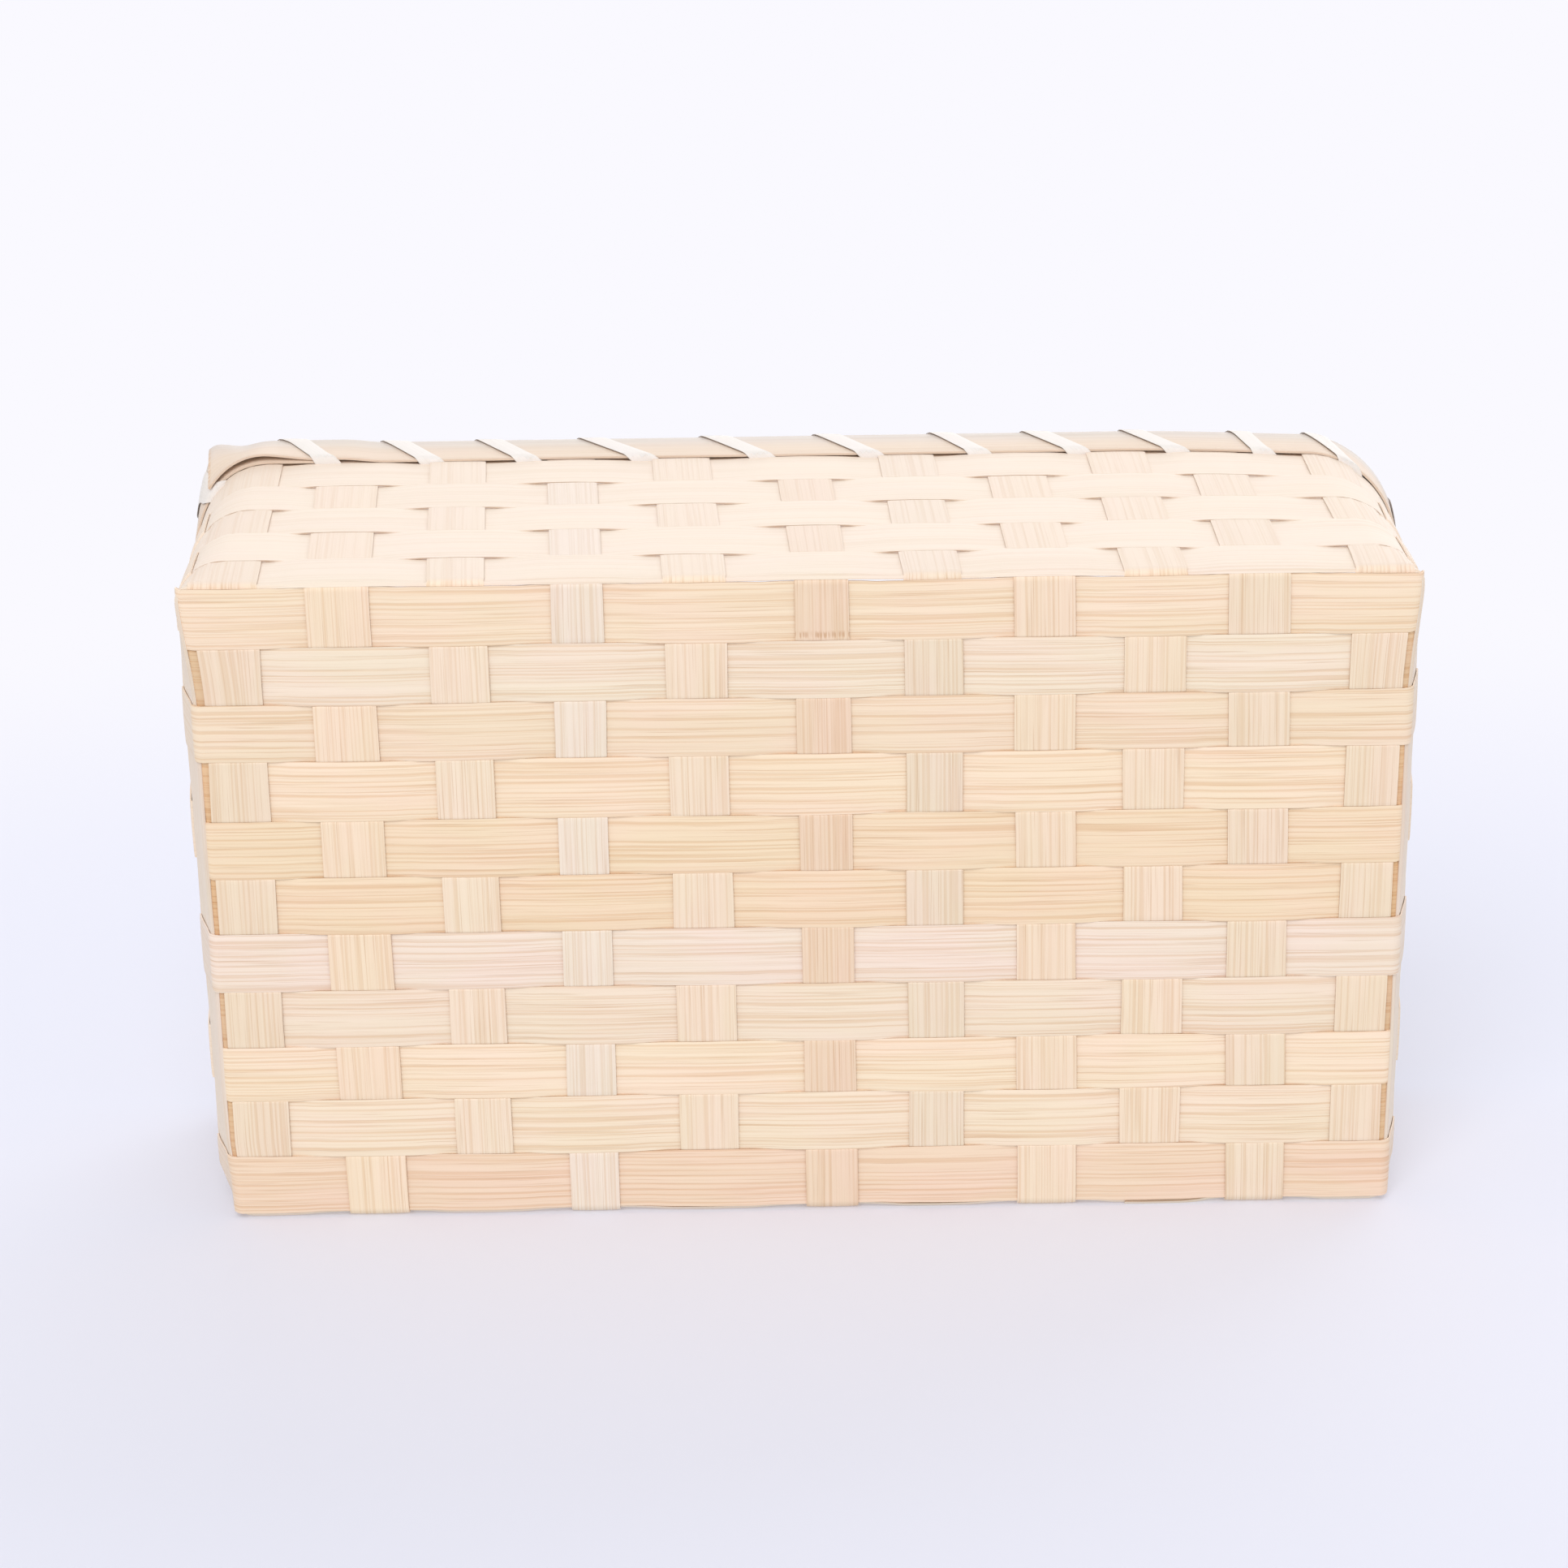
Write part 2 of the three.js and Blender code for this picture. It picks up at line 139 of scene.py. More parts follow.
Push = namedtuple("Push", "x y reach foot shift")
PUSHES = [
    Push(198 * MM, -117 * MM, 95 * MM, 0.0, Vector((-5.6 * MM, 2.4 * MM, 0))),
    Push(-200 * MM, -98 * MM, 38 * MM, 0.0, Vector((4.2 * MM, 0, 0))),
    Push(-204 * MM, -35 * MM, 60 * MM, 0.0, Vector((-2.2 * MM, 0, 0))),
    Push(-193 * MM, -107 * MM, 20 * MM, 92 * MM, Vector((0, -8.0 * MM, 0))),
]

LEFT_PULL = 3.5 * MM
RIGHT_PULL = 2.6 * MM
FRONT_CORNER_PULL = 1.6 * MM
PULL_HEIGHT = 21 * MM


def drawn_in(point):
    """How far a floor's end is drawn in: only near the end and near the floor, and less at the back."""
    near = risen(abs(point.x), 160 * MM, 180 * MM) * risen(point.z, PULL_HEIGHT, 0)
    near *= risen(point.y, -110 * MM, -65 * MM)
    if point.x > 0:
        return -RIGHT_PULL * near
    return (LEFT_PULL + FRONT_CORNER_PULL * risen(point.y, 78 * MM, 100 * MM)) * near


def handled(point):
    """Where a point ends up on a basket in use. Each push fades with distance and towards its foot."""
    moved = point + Vector((drawn_in(point), 0, 0))
    for push in PUSHES:
        near = smooth(1 - math.hypot(point.x - push.x, point.y - push.y) / push.reach)
        moved += push.shift * near * risen(point.z, push.foot, RIM_HEAD)
    return moved


def wall_point(wall, along, climb, offset):
    radius = corner_radius(climb)
    straight = straight_half(wall, climb)
    turn = max(0.0, abs(along) - straight) / radius
    side = math.copysign(1, along)
    lateral = side * (min(abs(along), straight) + radius * math.sin(turn))
    outset, height, lean = slope_at(climb)
    outset -= radius * (1 - math.cos(turn))
    normal = wall.out * math.cos(turn) + wall.walk * (side * math.sin(turn))
    normal = normal * math.cos(lean) - Vector((0, 0, math.sin(lean)))
    point = wall.walk * lateral + wall.out * (wall.half_out + outset)
    point.z = height
    return handled(point + normal * offset)


def stake_along(wall, centre, climb):
    """Where a stake stands at this climb. The stakes of a wall lean together, less near its ends."""
    middling = 1 - (centre / wall.half_along) ** 4
    return centre * (1 + wall.spread * climb / STAKE_HEAD) + wall.lean * climb * middling


rim_corner = wall_point(WALLS[0], straight_half(WALLS[0], RIM_HEAD), RIM_HEAD, 0)
print("rim's corner starts at", [round(v / MM, 1) for v in rim_corner], "mm")

# %% [markdown]
# ## The hand of the maker
#
# Nothing split by hand is straight. Noise gives a smooth wander, and a number per strip picks
# a different stretch of it, so each strip wavers in its own way, the same on each run.

# %% Wander
def wander(strip, s, wave, amount):
    """A smooth unevenness along a strip: wave is its usual length and amount its size."""
    return amount * noise.noise(Vector((s / wave, 7.31 * strip, 2.17 * strip)))


def wander_round(strip, turn, waves, amount):
    """The same for a strip round the basket, where one whole turn meets its own start."""
    angle = 2 * math.pi * turn
    return amount * noise.noise(Vector((waves * math.cos(angle), waves * math.sin(angle), 5.3 * strip)))


print("wander of strip 3:", [round(wander(3, s * MM, 40 * MM, 1), 3) for s in (0, 20, 40)])

# %% [markdown]
# ## Over and under
#
# A crossing is a stretch of a strip's path where another strip lies on one side of it. There the
# strip is pushed out of the weave's middle, outwards or inwards, and between two crossings it eases
# from one to the other. At the middle of a crossing it crowns a little off what it lies on.

# %% Over and under
Crossing = namedtuple("Crossing", "start end offset")
HALF_STEP = 0.3 * MM


def weave(s, crossings, lap):
    """How far out the strip lies at s.

    Each step reaches lap into the crossings beside it, and is no shorter than twice HALF_STEP, because
    two stakes may meet at a foot corner.
    """
    offset = crossings[0].offset
    for before, after in zip(crossings, crossings[1:]):
        middle = (before.end + after.start) / 2
        half = max((after.start - before.end) / 2 + lap, HALF_STEP)
        offset += (after.offset - before.offset) * risen(s, middle - half, middle + half)
    return offset


def crown(s, crossings, amount):
    """The little rise over the middle of a crossing."""
    rise = 0.0
    for crossing in crossings:
        reach = abs(s - (crossing.start + crossing.end) / 2) / (crossing.end - crossing.start)
        if reach < 0.5 and crossing.offset != 0:
            rise += math.copysign(amount, crossing.offset) * math.cos(math.pi * reach) ** 2
    return rise


# %% [markdown]
# ## One strip
#
# A strip could be a curve with a flat bevel, but a curve can't crown, waver at each edge or keep
# its width round a corner. So each strip starts as a flat grid, extruded to a thin slab, and every
# vertex is then laid where the strip's own path says. The rows crowd towards the edges, and the
# outermost are thinned, as a scraped edge is. Its UV map is the strip laid flat, in metres, so that
# the grain runs along it, and each strip lies elsewhere on the map, so its fibres are its own. A
# second map holds the distance to the nearest culm node, where the real splint carries a scar, and
# how near the edge a place is. A hoop's one such place is its free end, and the band there is painted
# shade. A mark says how dark an edge is made: 1 is dark, and below 0 it stays clean. The narrow side
# of the strip is darker than its face. On the weavers' lower edges this dark edge is painted shade.

# %% Laying a strip
pieces = {}
CLOSEST_STATIONS = 0.12 * MM
TO_HUNDREDTH_MM = 5


def add_object(name, data):
    added = bpy.data.objects.new(name, data)
    bpy.context.scene.collection.objects.link(added)
    return added


def add_mesh(name, bm):
    mesh = bpy.data.meshes.new(name)
    bm.to_mesh(mesh)
    bm.free()
    return add_object(name, mesh)


def stations_between(low, high, step, edges=()):
    """Places along a strip: even ones, and closer ones on both sides of each edge."""
    count = math.ceil((high - low) / step)
    places = {round(low + (high - low) * i / count, TO_HUNDREDTH_MM) for i in range(count + 1)}
    for edge in edges:
        places |= {round(edge + shift * MM, TO_HUNDREDTH_MM) for shift in (-0.6, -0.3, 0, 0.3, 0.6)}
    kept = [low]
    for place in sorted(places):
        if place - kept[-1] > CLOSEST_STATIONS and place <= high:
            kept.append(place)
    return kept


def nearest_scar(s, scars):
    """How far the nearest scar is, or a metre where the strip has none."""
    return min((s - scar for scar in scars), key=abs, default=1.0)


ROWS = 6
ROW_CROWDING = 1.8
EDGE_ROW = 0.99
EDGE_THINNING = 0.7
SHARP_ANGLE = 0.6
MAP_HALF_WIDTH = 9 * MM
MAP_APART = (1.7, 0.37)
EDGE_CLEAN = 0.95
NARROW_SIDE = 1.04


def lay_strip(name, stations, rows, thickness, place, number, mark, scars=()):
    """A closed strip. place(s, share, skin) gives the point at s, share of the half width across."""
    bm = bmesh.new()
    bmesh.ops.create_grid(bm, x_segments=len(stations) - 1, y_segments=rows, size=1)
    lifted = bmesh.ops.extrude_face_region(bm, geom=bm.faces[:])["geom"]
    upper = [item for item in lifted if isinstance(item, bmesh.types.BMVert)]
    bmesh.ops.translate(bm, verts=upper, vec=(0, 0, 1))
    flat = {}
    for vert in bm.verts:
        s = stations[round((vert.co.x + 1) / 2 * (len(stations) - 1))]
        share = math.copysign(1 - (1 - abs(vert.co.y)) ** ROW_CROWDING, vert.co.y)
        thinned = EDGE_THINNING if abs(share) > EDGE_ROW else 1.0
        flat[vert] = (s, share)
        vert.co = place(s, share, (vert.co.z - 0.5) * thickness * thinned)
    bmesh.ops.recalc_face_normals(bm, faces=bm.faces[:])
    strip_map = bm.loops.layers.uv.new("strip")
    scar_map = bm.loops.layers.uv.new("scar")
    for face in bm.faces:
        face.smooth = True
        narrow = all(abs(flat[vert][1]) > EDGE_ROW for vert in face.verts)
        for loop in face.loops:
            s, share = flat[loop.vert]
            edge = share * (EDGE_CLEAN + (1 - EDGE_CLEAN) * mark(s, share))
            loop[strip_map].uv = (s + MAP_APART[0] * number, share * MAP_HALF_WIDTH + MAP_APART[1] * number)
            loop[scar_map].uv = (nearest_scar(s, scars), edge * (NARROW_SIDE if narrow else 1.0))
    for edge in bm.edges:
        edge.smooth = edge.calc_face_angle(0) < SHARP_ANGLE
    pieces[name] = add_mesh(name, bm)
    return pieces[name]


# Painted light, up the walls: fibres with less contrast and strips that differ less paint the washed-out
# look of walls in full light.
WASHED_OUT_CONTRAST = 0.32
WASHED_OUT_SPREAD = 0.4
WASHED_OUT_HEIGHTS = (1.2 * MM, 2.8 * MM)


def finish_piece(piece, node, material, tint, upper_tint=(1, 1, 1), heights=WASHED_OUT_HEIGHTS):
    """Gives a strip its colour and finish, and lets it stand for its CAD node.

    Between the two heights the colour changes by upper_tint, and the strips differ less from each other.
    The tint's fourth number is the contrast of the fibres, which is lower up the walls too. Up the walls
    these changes are painted light: the splints' cooler, paler wall tint, the smaller differences
    and the flatter fibres paint the washed-out look of walls in full light.
    """
    colours = piece.data.color_attributes.new("tint", "FLOAT_COLOR", "POINT")
    for entry, vert in zip(colours.data, piece.data.vertices):
        up = risen(vert.co.z, *heights)
        spread = 1 + (WASHED_OUT_SPREAD - 1) * up
        shade = [part**spread * (1 + (upper - 1) * up) for part, upper in zip(tint, upper_tint)]
        entry.color = (*shade, 1 + (WASHED_OUT_CONTRAST - 1) * risen(vert.co.z, *WASHED_OUT_HEIGHTS))
    piece.data.materials.append(material)
    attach(piece, "root")
    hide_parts(node)


# %% [markdown]
# ## Bamboo
#
# Split bamboo is pale cream with fibres that run straight along the strip: soft bands a few
# millimetres wide, hair-fine lines inside them, and now and then a short brown streak. One node
# group makes all of that from a flat map of the strip, so floor splints, weavers and hoops share it
# with their own strengths. Stretching the map along the strip turns round noise into fibres.

# %% Helpers for material nodes
def colour(red, green, blue):
    """A colour as picked on a screen, 0 to 255, turned into the linear values that nodes use."""
    def linear(value):
        value /= 255
        return value / 12.92 if value <= 0.04045 else ((value + 0.055) / 1.055) ** 2.4

    return (linear(red), linear(green), linear(blue), 1)


def add_node(tree, kind):
    return tree.nodes.new(f"ShaderNode{kind}")


def stretched_noise(tree, flat_map, along, across, detail):
    """Noise drawn out along the strip. along and across are features per metre."""
    stretch = add_node(tree, "Mapping")
    stretch.inputs["Scale"].default_value = (along, across, 1)
    tree.links.new(flat_map, stretch.inputs["Vector"])
    fibres = add_node(tree, "TexNoise")
    fibres.inputs["Scale"].default_value = 1
    fibres.inputs["Detail"].default_value = detail
    tree.links.new(stretch.outputs["Vector"], fibres.inputs["Vector"])
    return fibres.outputs["Fac"]


def ranged(tree, value, low, high, to_low=0.0, to_high=1.0):
    """A value's range low to high, spread over to_low to to_high and held there."""
    spread = add_node(tree, "MapRange")
    spread.interpolation_type = "SMOOTHSTEP"
    for socket, number in zip(("From Min", "From Max", "To Min", "To Max"), (low, high, to_low, to_high)):
        spread.inputs[socket].default_value = number
    tree.links.new(value, spread.inputs["Value"])
    return spread.outputs["Result"]


def maths(tree, operation, first, second):
    node = add_node(tree, "Math")
    node.operation = operation
    for socket, value in zip(node.inputs, (first, second)):
        if isinstance(value, (int, float)):
            socket.default_value = value
        else:
            tree.links.new(value, socket)
    return node.outputs["Value"]


def mixed(tree, share, first, second, how="MIX"):
    """Two colours mixed. The node keeps its colours at sockets 6 and 7, and the result at 2."""
    node = add_node(tree, "Mix")
    node.data_type = "RGBA"
    node.blend_type = how
    for socket, value in zip((node.inputs[0], node.inputs[6], node.inputs[7]), (share, first, second)):
        if isinstance(value, (int, float, tuple)):
            socket.default_value = value
        else:
            tree.links.new(value, socket)
    return node.outputs[2]


def mixed_shader(tree, share, first, second):
    node = add_node(tree, "MixShader")
    for socket, value in zip(node.inputs, (share, first.outputs[0], second.outputs[0])):
        tree.links.new(value, socket)
    return node


# %% The bamboo group
STREAK_BROWN = colour(206, 166, 128)
# The brown of a culm node's scar, also painted shade at the hoops' free ends.
SCAR_AND_SHADE_BROWN = colour(214, 176, 140)
SPECK_BROWN = colour(150, 112, 80)
GIVEN_SOCKETS = {
    "Flat map": "Vector", "Scar map": "Vector", "Pale": "Color", "Fibre": "Color", "Edge": "Color",
    "Contrast": "Float", "Streaks": "Float",
}
MADE_SOCKETS = {"Color": "Color", "Roughness": "Float", "Height": "Float"}


def build_bamboo_group():
    tree = bpy.data.node_groups.new("split_bamboo", "ShaderNodeTree")
    for way, sockets in (("INPUT", GIVEN_SOCKETS), ("OUTPUT", MADE_SOCKETS)):
        for name, kind in sockets.items():
            tree.interface.new_socket(name, in_out=way, socket_type=f"NodeSocket{kind}")
    given = tree.nodes.new("NodeGroupInput")
    made = tree.nodes.new("NodeGroupOutput")
    flat_map = given.outputs["Flat map"]
    contrast = given.outputs["Contrast"]

    def times(first, second):
        return maths(tree, "MULTIPLY", first, second)

    # Fibres: soft bands, fine lines and brown hairs, and blotches that shift the colour a little.
    bands = ranged(tree, stretched_noise(tree, flat_map, 4, 420, 1), 0.34, 0.68)
    lines = ranged(tree, stretched_noise(tree, flat_map, 6, 1150, 2), 0.46, 0.64)
    hairs = ranged(tree, stretched_noise(tree, flat_map, 24, 2600, 2), 0.56, 0.72)
    blotches = ranged(tree, stretched_noise(tree, flat_map, 22, 70, 2), 0.35, 0.68)

    fibre_share = times(maths(tree, "ADD", times(bands, 0.14), times(lines, 0.56)), contrast)
    coloured = mixed(tree, fibre_share, given.outputs["Pale"], given.outputs["Fibre"])
    warmed = mixed(tree, blotches, (0.99, 1.0, 0.975, 1), (1.01, 0.99, 1.005, 1))
    coloured = mixed(tree, contrast, coloured, mixed(tree, 1.0, coloured, warmed, "MULTIPLY"))
    streak = times(times(hairs, given.outputs["Streaks"]), contrast)
    coloured = mixed(tree, streak, coloured, STREAK_BROWN)

    # The scar of a culm node: a thin line across the strip, ragged and broken. On the hoops the same band
    # marks their free end and is painted shade there.
    apart = add_node(tree, "SeparateXYZ")
    tree.links.new(given.outputs["Scar map"], apart.inputs["Vector"])
    teeth = stretched_noise(tree, flat_map, 60, 1500, 2)
    ragged = maths(tree, "MULTIPLY_ADD", teeth, 3.5 * MM)
    ragged.node.inputs[2].default_value = -1.8 * MM
    distance = maths(tree, "ABSOLUTE", maths(tree, "ADD", apart.outputs["X"], ragged), 0.0)
    scar = ranged(tree, distance, 0.3 * MM, 1.4 * MM, 1.0, 0.0)
    scar = times(scar, ranged(tree, teeth, 0.44, 0.60, 0.05, 0.75))
    coloured = mixed(tree, scar, coloured, SCAR_AND_SHADE_BROWN)

    # The edge is dark from just inside the strip's half width, as far as its mark lets it be.
    edge = ranged(tree, maths(tree, "ABSOLUTE", apart.outputs["Y"], 0.0), 0.955, 1.035, 0.0, 0.9)
    coloured = mixed(tree, edge, coloured, given.outputs["Edge"])

    # A few specks: only cells whose random colour is light have one.
    cells = add_node(tree, "TexVoronoi")
    cells.inputs["Scale"].default_value = 34
    tree.links.new(flat_map, cells.inputs["Vector"])
    chosen = ranged(tree, cells.outputs["Color"], 0.80, 0.82)
    speck = times(ranged(tree, cells.outputs["Distance"], 0.010, 0.022, 0.8, 0.0), chosen)
    coloured = mixed(tree, speck, coloured, SPECK_BROWN)

    rough = ranged(tree, lines, 0.0, 1.0, 0.50, 0.66)
    grooves = maths(tree, "ADD", times(lines, -0.6), times(bands, 0.5))
    height = maths(tree, "ADD", grooves, times(scar, 0.8))
    tree.links.new(coloured, made.inputs["Color"])
    tree.links.new(rough, made.inputs["Roughness"])
    tree.links.new(height, made.inputs["Height"])
    return tree


split_bamboo = build_bamboo_group()
print("bamboo group:", len(split_bamboo.nodes), "nodes")

# %% [markdown]
# ## Five finishes
#
# The floor's splints show the soft inner side of the culm. The weavers are split thinner and paler.
# The hoops are cut from the wall of the culm and keep more colour, and the lashing is the hard
# outer skin, nearly white and a little glossy. The strip's own tint multiplies the shared colour,
# because no two splints come from the same part of a culm.

# %% Finishes
# The dark colour of marked edges; on the weavers' lower edges it is painted shade.
EDGE_BROWN = colour(170, 132, 98)
RELIEF_HEIGHT = 0.12 * MM
SHINE = 0.3
COAT_ROUGHNESS = 0.35


def make_bamboo(name, pale, fibre, edge=EDGE_BROWN, streaks=0.45, relief=0.5, coat=0.0):
    material = bpy.data.materials.new(name)
    material.use_nodes = True
    tree = material.node_tree
    shader = tree.nodes["Principled BSDF"]
    group = add_node(tree, "Group")
    group.node_tree = split_bamboo
    for socket, value in (("Pale", pale), ("Fibre", fibre), ("Edge", edge), ("Streaks", streaks)):
        group.inputs[socket].default_value = value
    for map_name, socket in (("strip", "Flat map"), ("scar", "Scar map")):
        uv = add_node(tree, "UVMap")
        uv.uv_map = map_name
        tree.links.new(uv.outputs["UV"], group.inputs[socket])
    tint = add_node(tree, "Attribute")
    tint.attribute_name = "tint"
    tree.links.new(tint.outputs["Alpha"], group.inputs["Contrast"])
    tinted = mixed(tree, 1.0, group.outputs["Color"], tint.outputs["Color"], "MULTIPLY")
    tree.links.new(tinted, shader.inputs["Base Color"])
    tree.links.new(group.outputs["Roughness"], shader.inputs["Roughness"])
    bump = add_node(tree, "Bump")
    bump.inputs["Strength"].default_value = relief
    bump.inputs["Distance"].default_value = RELIEF_HEIGHT
    tree.links.new(group.outputs["Height"], bump.inputs["Height"])
    tree.links.new(bump.outputs["Normal"], shader.inputs["Normal"])
    shader.inputs["Specular IOR Level"].default_value = SHINE
    shader.inputs["Coat Weight"].default_value = coat
    shader.inputs["Coat Roughness"].default_value = COAT_ROUGHNESS
    return material


FLOOR_BAMBOO = make_bamboo("floor_bamboo", colour(251, 231, 209), colour(232, 197, 163))
CROSS_BAMBOO = make_bamboo("cross_bamboo", colour(249, 229, 208), colour(234, 204, 174))
WEAVER_BAMBOO = make_bamboo(
    "weaver_bamboo", colour(243, 228, 214), colour(230, 208, 187), streaks=0.30, relief=0.4
)
HOOP_BAMBOO = make_bamboo(
    "hoop_bamboo", colour(229, 214, 200), colour(214, 192, 171), streaks=0.30, relief=0.4, coat=0.1
)
LASHING_SKIN = make_bamboo(
    "lashing_skin", colour(238, 232, 228), colour(226, 217, 210), colour(120, 102, 88),
    streaks=0.15, relief=0.3, coat=0.2,
)
print("finishes:", [m.name for m in bpy.data.materials])

# %% [markdown]
# ## Rows and columns of the floor
#
# The long splints lie edge to edge, so eleven of them make twelve seams. The cross splints stand
# apart, each a little askew and with its own width, as the maker's hand left them. Both neighbours
# of a seam read the same wandering line, so the slit between them stays thin.

# %% Rows and columns
SEAM = 0.06 * MM
ROW_SEAMS = in_mm(-105.1, -86.2, -68.0, -49.7, -29.8, -10.9, 8.0, 27.3, 46.9, 65.3, 85.3, 105.1)
COLUMNS_AT_BACK = in_mm(-173.0, -138.5, -103.0, -66.9, -31.6, 6.5, 39.9, 73.3, 106.6, 137.7, 175.1)
COLUMNS_AT_FRONT = in_mm(-174.6, -137.0, -102.0, -67.5, -30.5, 7.9, 41.5, 76.4, 109.0, 142.5, 175.7)
COLUMN_WIDTHS = in_mm(20.8, 19.0, 17.3, 15.2, 18.2, 16.0, 17.2, 18.2, 18.4, 18.2, 17.6)
MEASURED_AT = 95 * MM
SPLINT_COUNT = len(COLUMN_WIDTHS)
ROW_WAVE = 55 * MM
ROW_WANDER = 0.55 * MM
COLUMN_WAVE = 50 * MM
COLUMN_WANDER = 0.5 * MM


def row_edges(number, x):
    """The two edges of a long splint at a place along it."""
    low = ROW_SEAMS[number - 1] + wander(100 + number, x, ROW_WAVE, ROW_WANDER)
    high = ROW_SEAMS[number] + wander(101 + number, x, ROW_WAVE, ROW_WANDER)
    gap = SEAM * (0.5 + wander(140 + number, x, 30 * MM, 0.45))
    return low + gap, high - gap


def column_edges(number, y):
    """The two edges of a cross splint at a place along it."""
    share = min(max((y + MEASURED_AT) / (2 * MEASURED_AT), -0.1), 1.1)
    centre = COLUMNS_AT_BACK[number - 1] * (1 - share) + COLUMNS_AT_FRONT[number - 1] * share
    half = COLUMN_WIDTHS[number - 1] / 2
    low = centre - half + wander(160 + number, y, COLUMN_WAVE, COLUMN_WANDER)
    return low, centre + half + wander(180 + number, y, COLUMN_WAVE, COLUMN_WANDER)


print("row widths in mm:", [round((b - a - SEAM) / MM, 1) for a, b in zip(ROW_SEAMS, ROW_SEAMS[1:])])

# %% [markdown]
# ## Stakes
#
# Past the floor's edge every splint is a stake of a wall. Going round the walls anticlockwise there
# are 34 woven stakes: all the cross splints, and every second long splint. The long splints between
# them only line the short walls. A stake passes outside a weaver where the sum of their numbers is even.

# %% Stakes
Stake = namedtuple("Stake", "side low high")


def list_stakes():
    columns, rows = range(1, SPLINT_COUNT + 1), range(1, SPLINT_COUNT + 1, 2)
    stakes = [Stake(0, *column_edges(number, -FLOOR_HALF_WIDTH)) for number in columns]
    stakes += [Stake(1, *row_edges(number, FLOOR_HALF_LENGTH)) for number in rows]
    for number in columns[::-1]:
        low, high = column_edges(number, FLOOR_HALF_WIDTH)
        stakes.append(Stake(2, -high, -low))
    for number in rows[::-1]:
        low, high = row_edges(number, -FLOOR_HALF_LENGTH)
        stakes.append(Stake(3, -high, -low))
    return stakes


STAKES = list_stakes()
WOVEN_LONG = (SPLINT_COUNT + 1) // 2
FIRST_STAKES = (0, SPLINT_COUNT, SPLINT_COUNT + WOVEN_LONG, 2 * SPLINT_COUNT + WOVEN_LONG)
WEAVER_SLIT = 0.04 * MM


def stake_number(side, splint):
    """A splint's number in the walk, or None where it is only a lining."""
    along = splint - 1 if side < 2 else SPLINT_COUNT - splint
    if side % 2 == 0:
        return FIRST_STAKES[side] + along
    return FIRST_STAKES[side] + along // 2 if along % 2 == 0 else None


def outside_weaver(stake, row):
    return (stake + row) % 2 == 0


def weaver_edges(row):
    """The lower and upper edge of a weaver. The first one reaches round the bend to the floor."""
    return WEAVER_SEAMS[row] + 2 * WEAVER_SLIT, WEAVER_SEAMS[row + 1] - 2 * WEAVER_SLIT


print("stakes:", len(STAKES))

# %% [markdown]
# ## Splints
#
# One piece of bamboo stands in one wall, bends under the floor, is plaited across it and stands up
# in the wall opposite. It is laid as one strip with its length measured from the basket's middle.
# The bend has the small radius that soaked bamboo takes without breaking.

# %% Splint paths
TONGUE = 7 * MM
LOWEST_CROSSING = 0.3 * MM
SPLINT_OVERLAP = 0.16 * MM
FULLY_WOVEN = 0.3 * MM


def wall_crossings(side, splint, half_run, way):
    """What a splint meets on its way up a wall, as crossings along its path."""
    wall = WALLS[side]
    stake = stake_number(side, splint)
    met = []
    for row in range(WEAVER_COUNT):
        foot, head = weaver_edges(row)
        foot = max(foot, LOWEST_CROSSING)
        if stake is None:
            offset = -(wall.swing + LAYER)
        else:
            offset = (LAYER - wall.swing) * (1 if outside_weaver(stake, row) else -1)
        met.append((foot, head, offset))
    met.append((RIM_FOOT, STAKE_HEAD, 0.0))
    start = half_run + BEND_LENGTH
    if way > 0:
        return [Crossing(start + foot, start + head, offset) for foot, head, offset in met]
    return [Crossing(-start - head, -start - foot, offset) for foot, head, offset in met[::-1]]


def overlap(woven):
    """How far an edge reaches over its neighbour's, which the weave holds on the other side."""
    return SPLINT_OVERLAP * risen(abs(woven), 0, FULLY_WOVEN)


def splint_place(end_side, half_run, edges, offset, cup):
    """Where a point of a splint lies: down one wall, across the floor and up the other."""
    end_wall = WALLS[end_side]
    start_wall = WALLS[(end_side + 2) % 4]

    def place(s, share, skin):
        low, high = edges(s)
        woven = offset(s)
        across = low + (high - low) * (share + 1) / 2 + share * overlap(woven)
        out = woven + cup * (1 - share * share) + skin
        way = 1 if s >= 0 else -1
        past = abs(s) - half_run
        if past <= BEND_LENGTH:
            turn = max(0.0, past) / BEND
            reach = min(abs(s), half_run) + (BEND + out) * math.sin(turn)
            point = end_wall.out * (way * reach) + end_wall.walk * across
            point.z = FLOOR_MIDDLE + BEND - (BEND + out) * math.cos(turn)
            return handled(point)
        climb = past - BEND_LENGTH
        wall = end_wall if way > 0 else start_wall
        middle = (low + high) / 2
        along = stake_along(wall, middle, climb) + across - middle
        return wall_point(wall, way * along, climb, out)

    return place


def bend_stations(half_run):
    return [way * (half_run + BEND_LENGTH * step / 3) for way in (-1, 1) for step in range(4)]


def splint_mark(half_run):
    """The edges show as brown lines across the floor, and hardly up the walls."""
    def mark(s, share):
        return -0.5 if abs(s) > half_run else 0.45 + wander(7, s + share, 11 * MM, 0.6)

    return mark


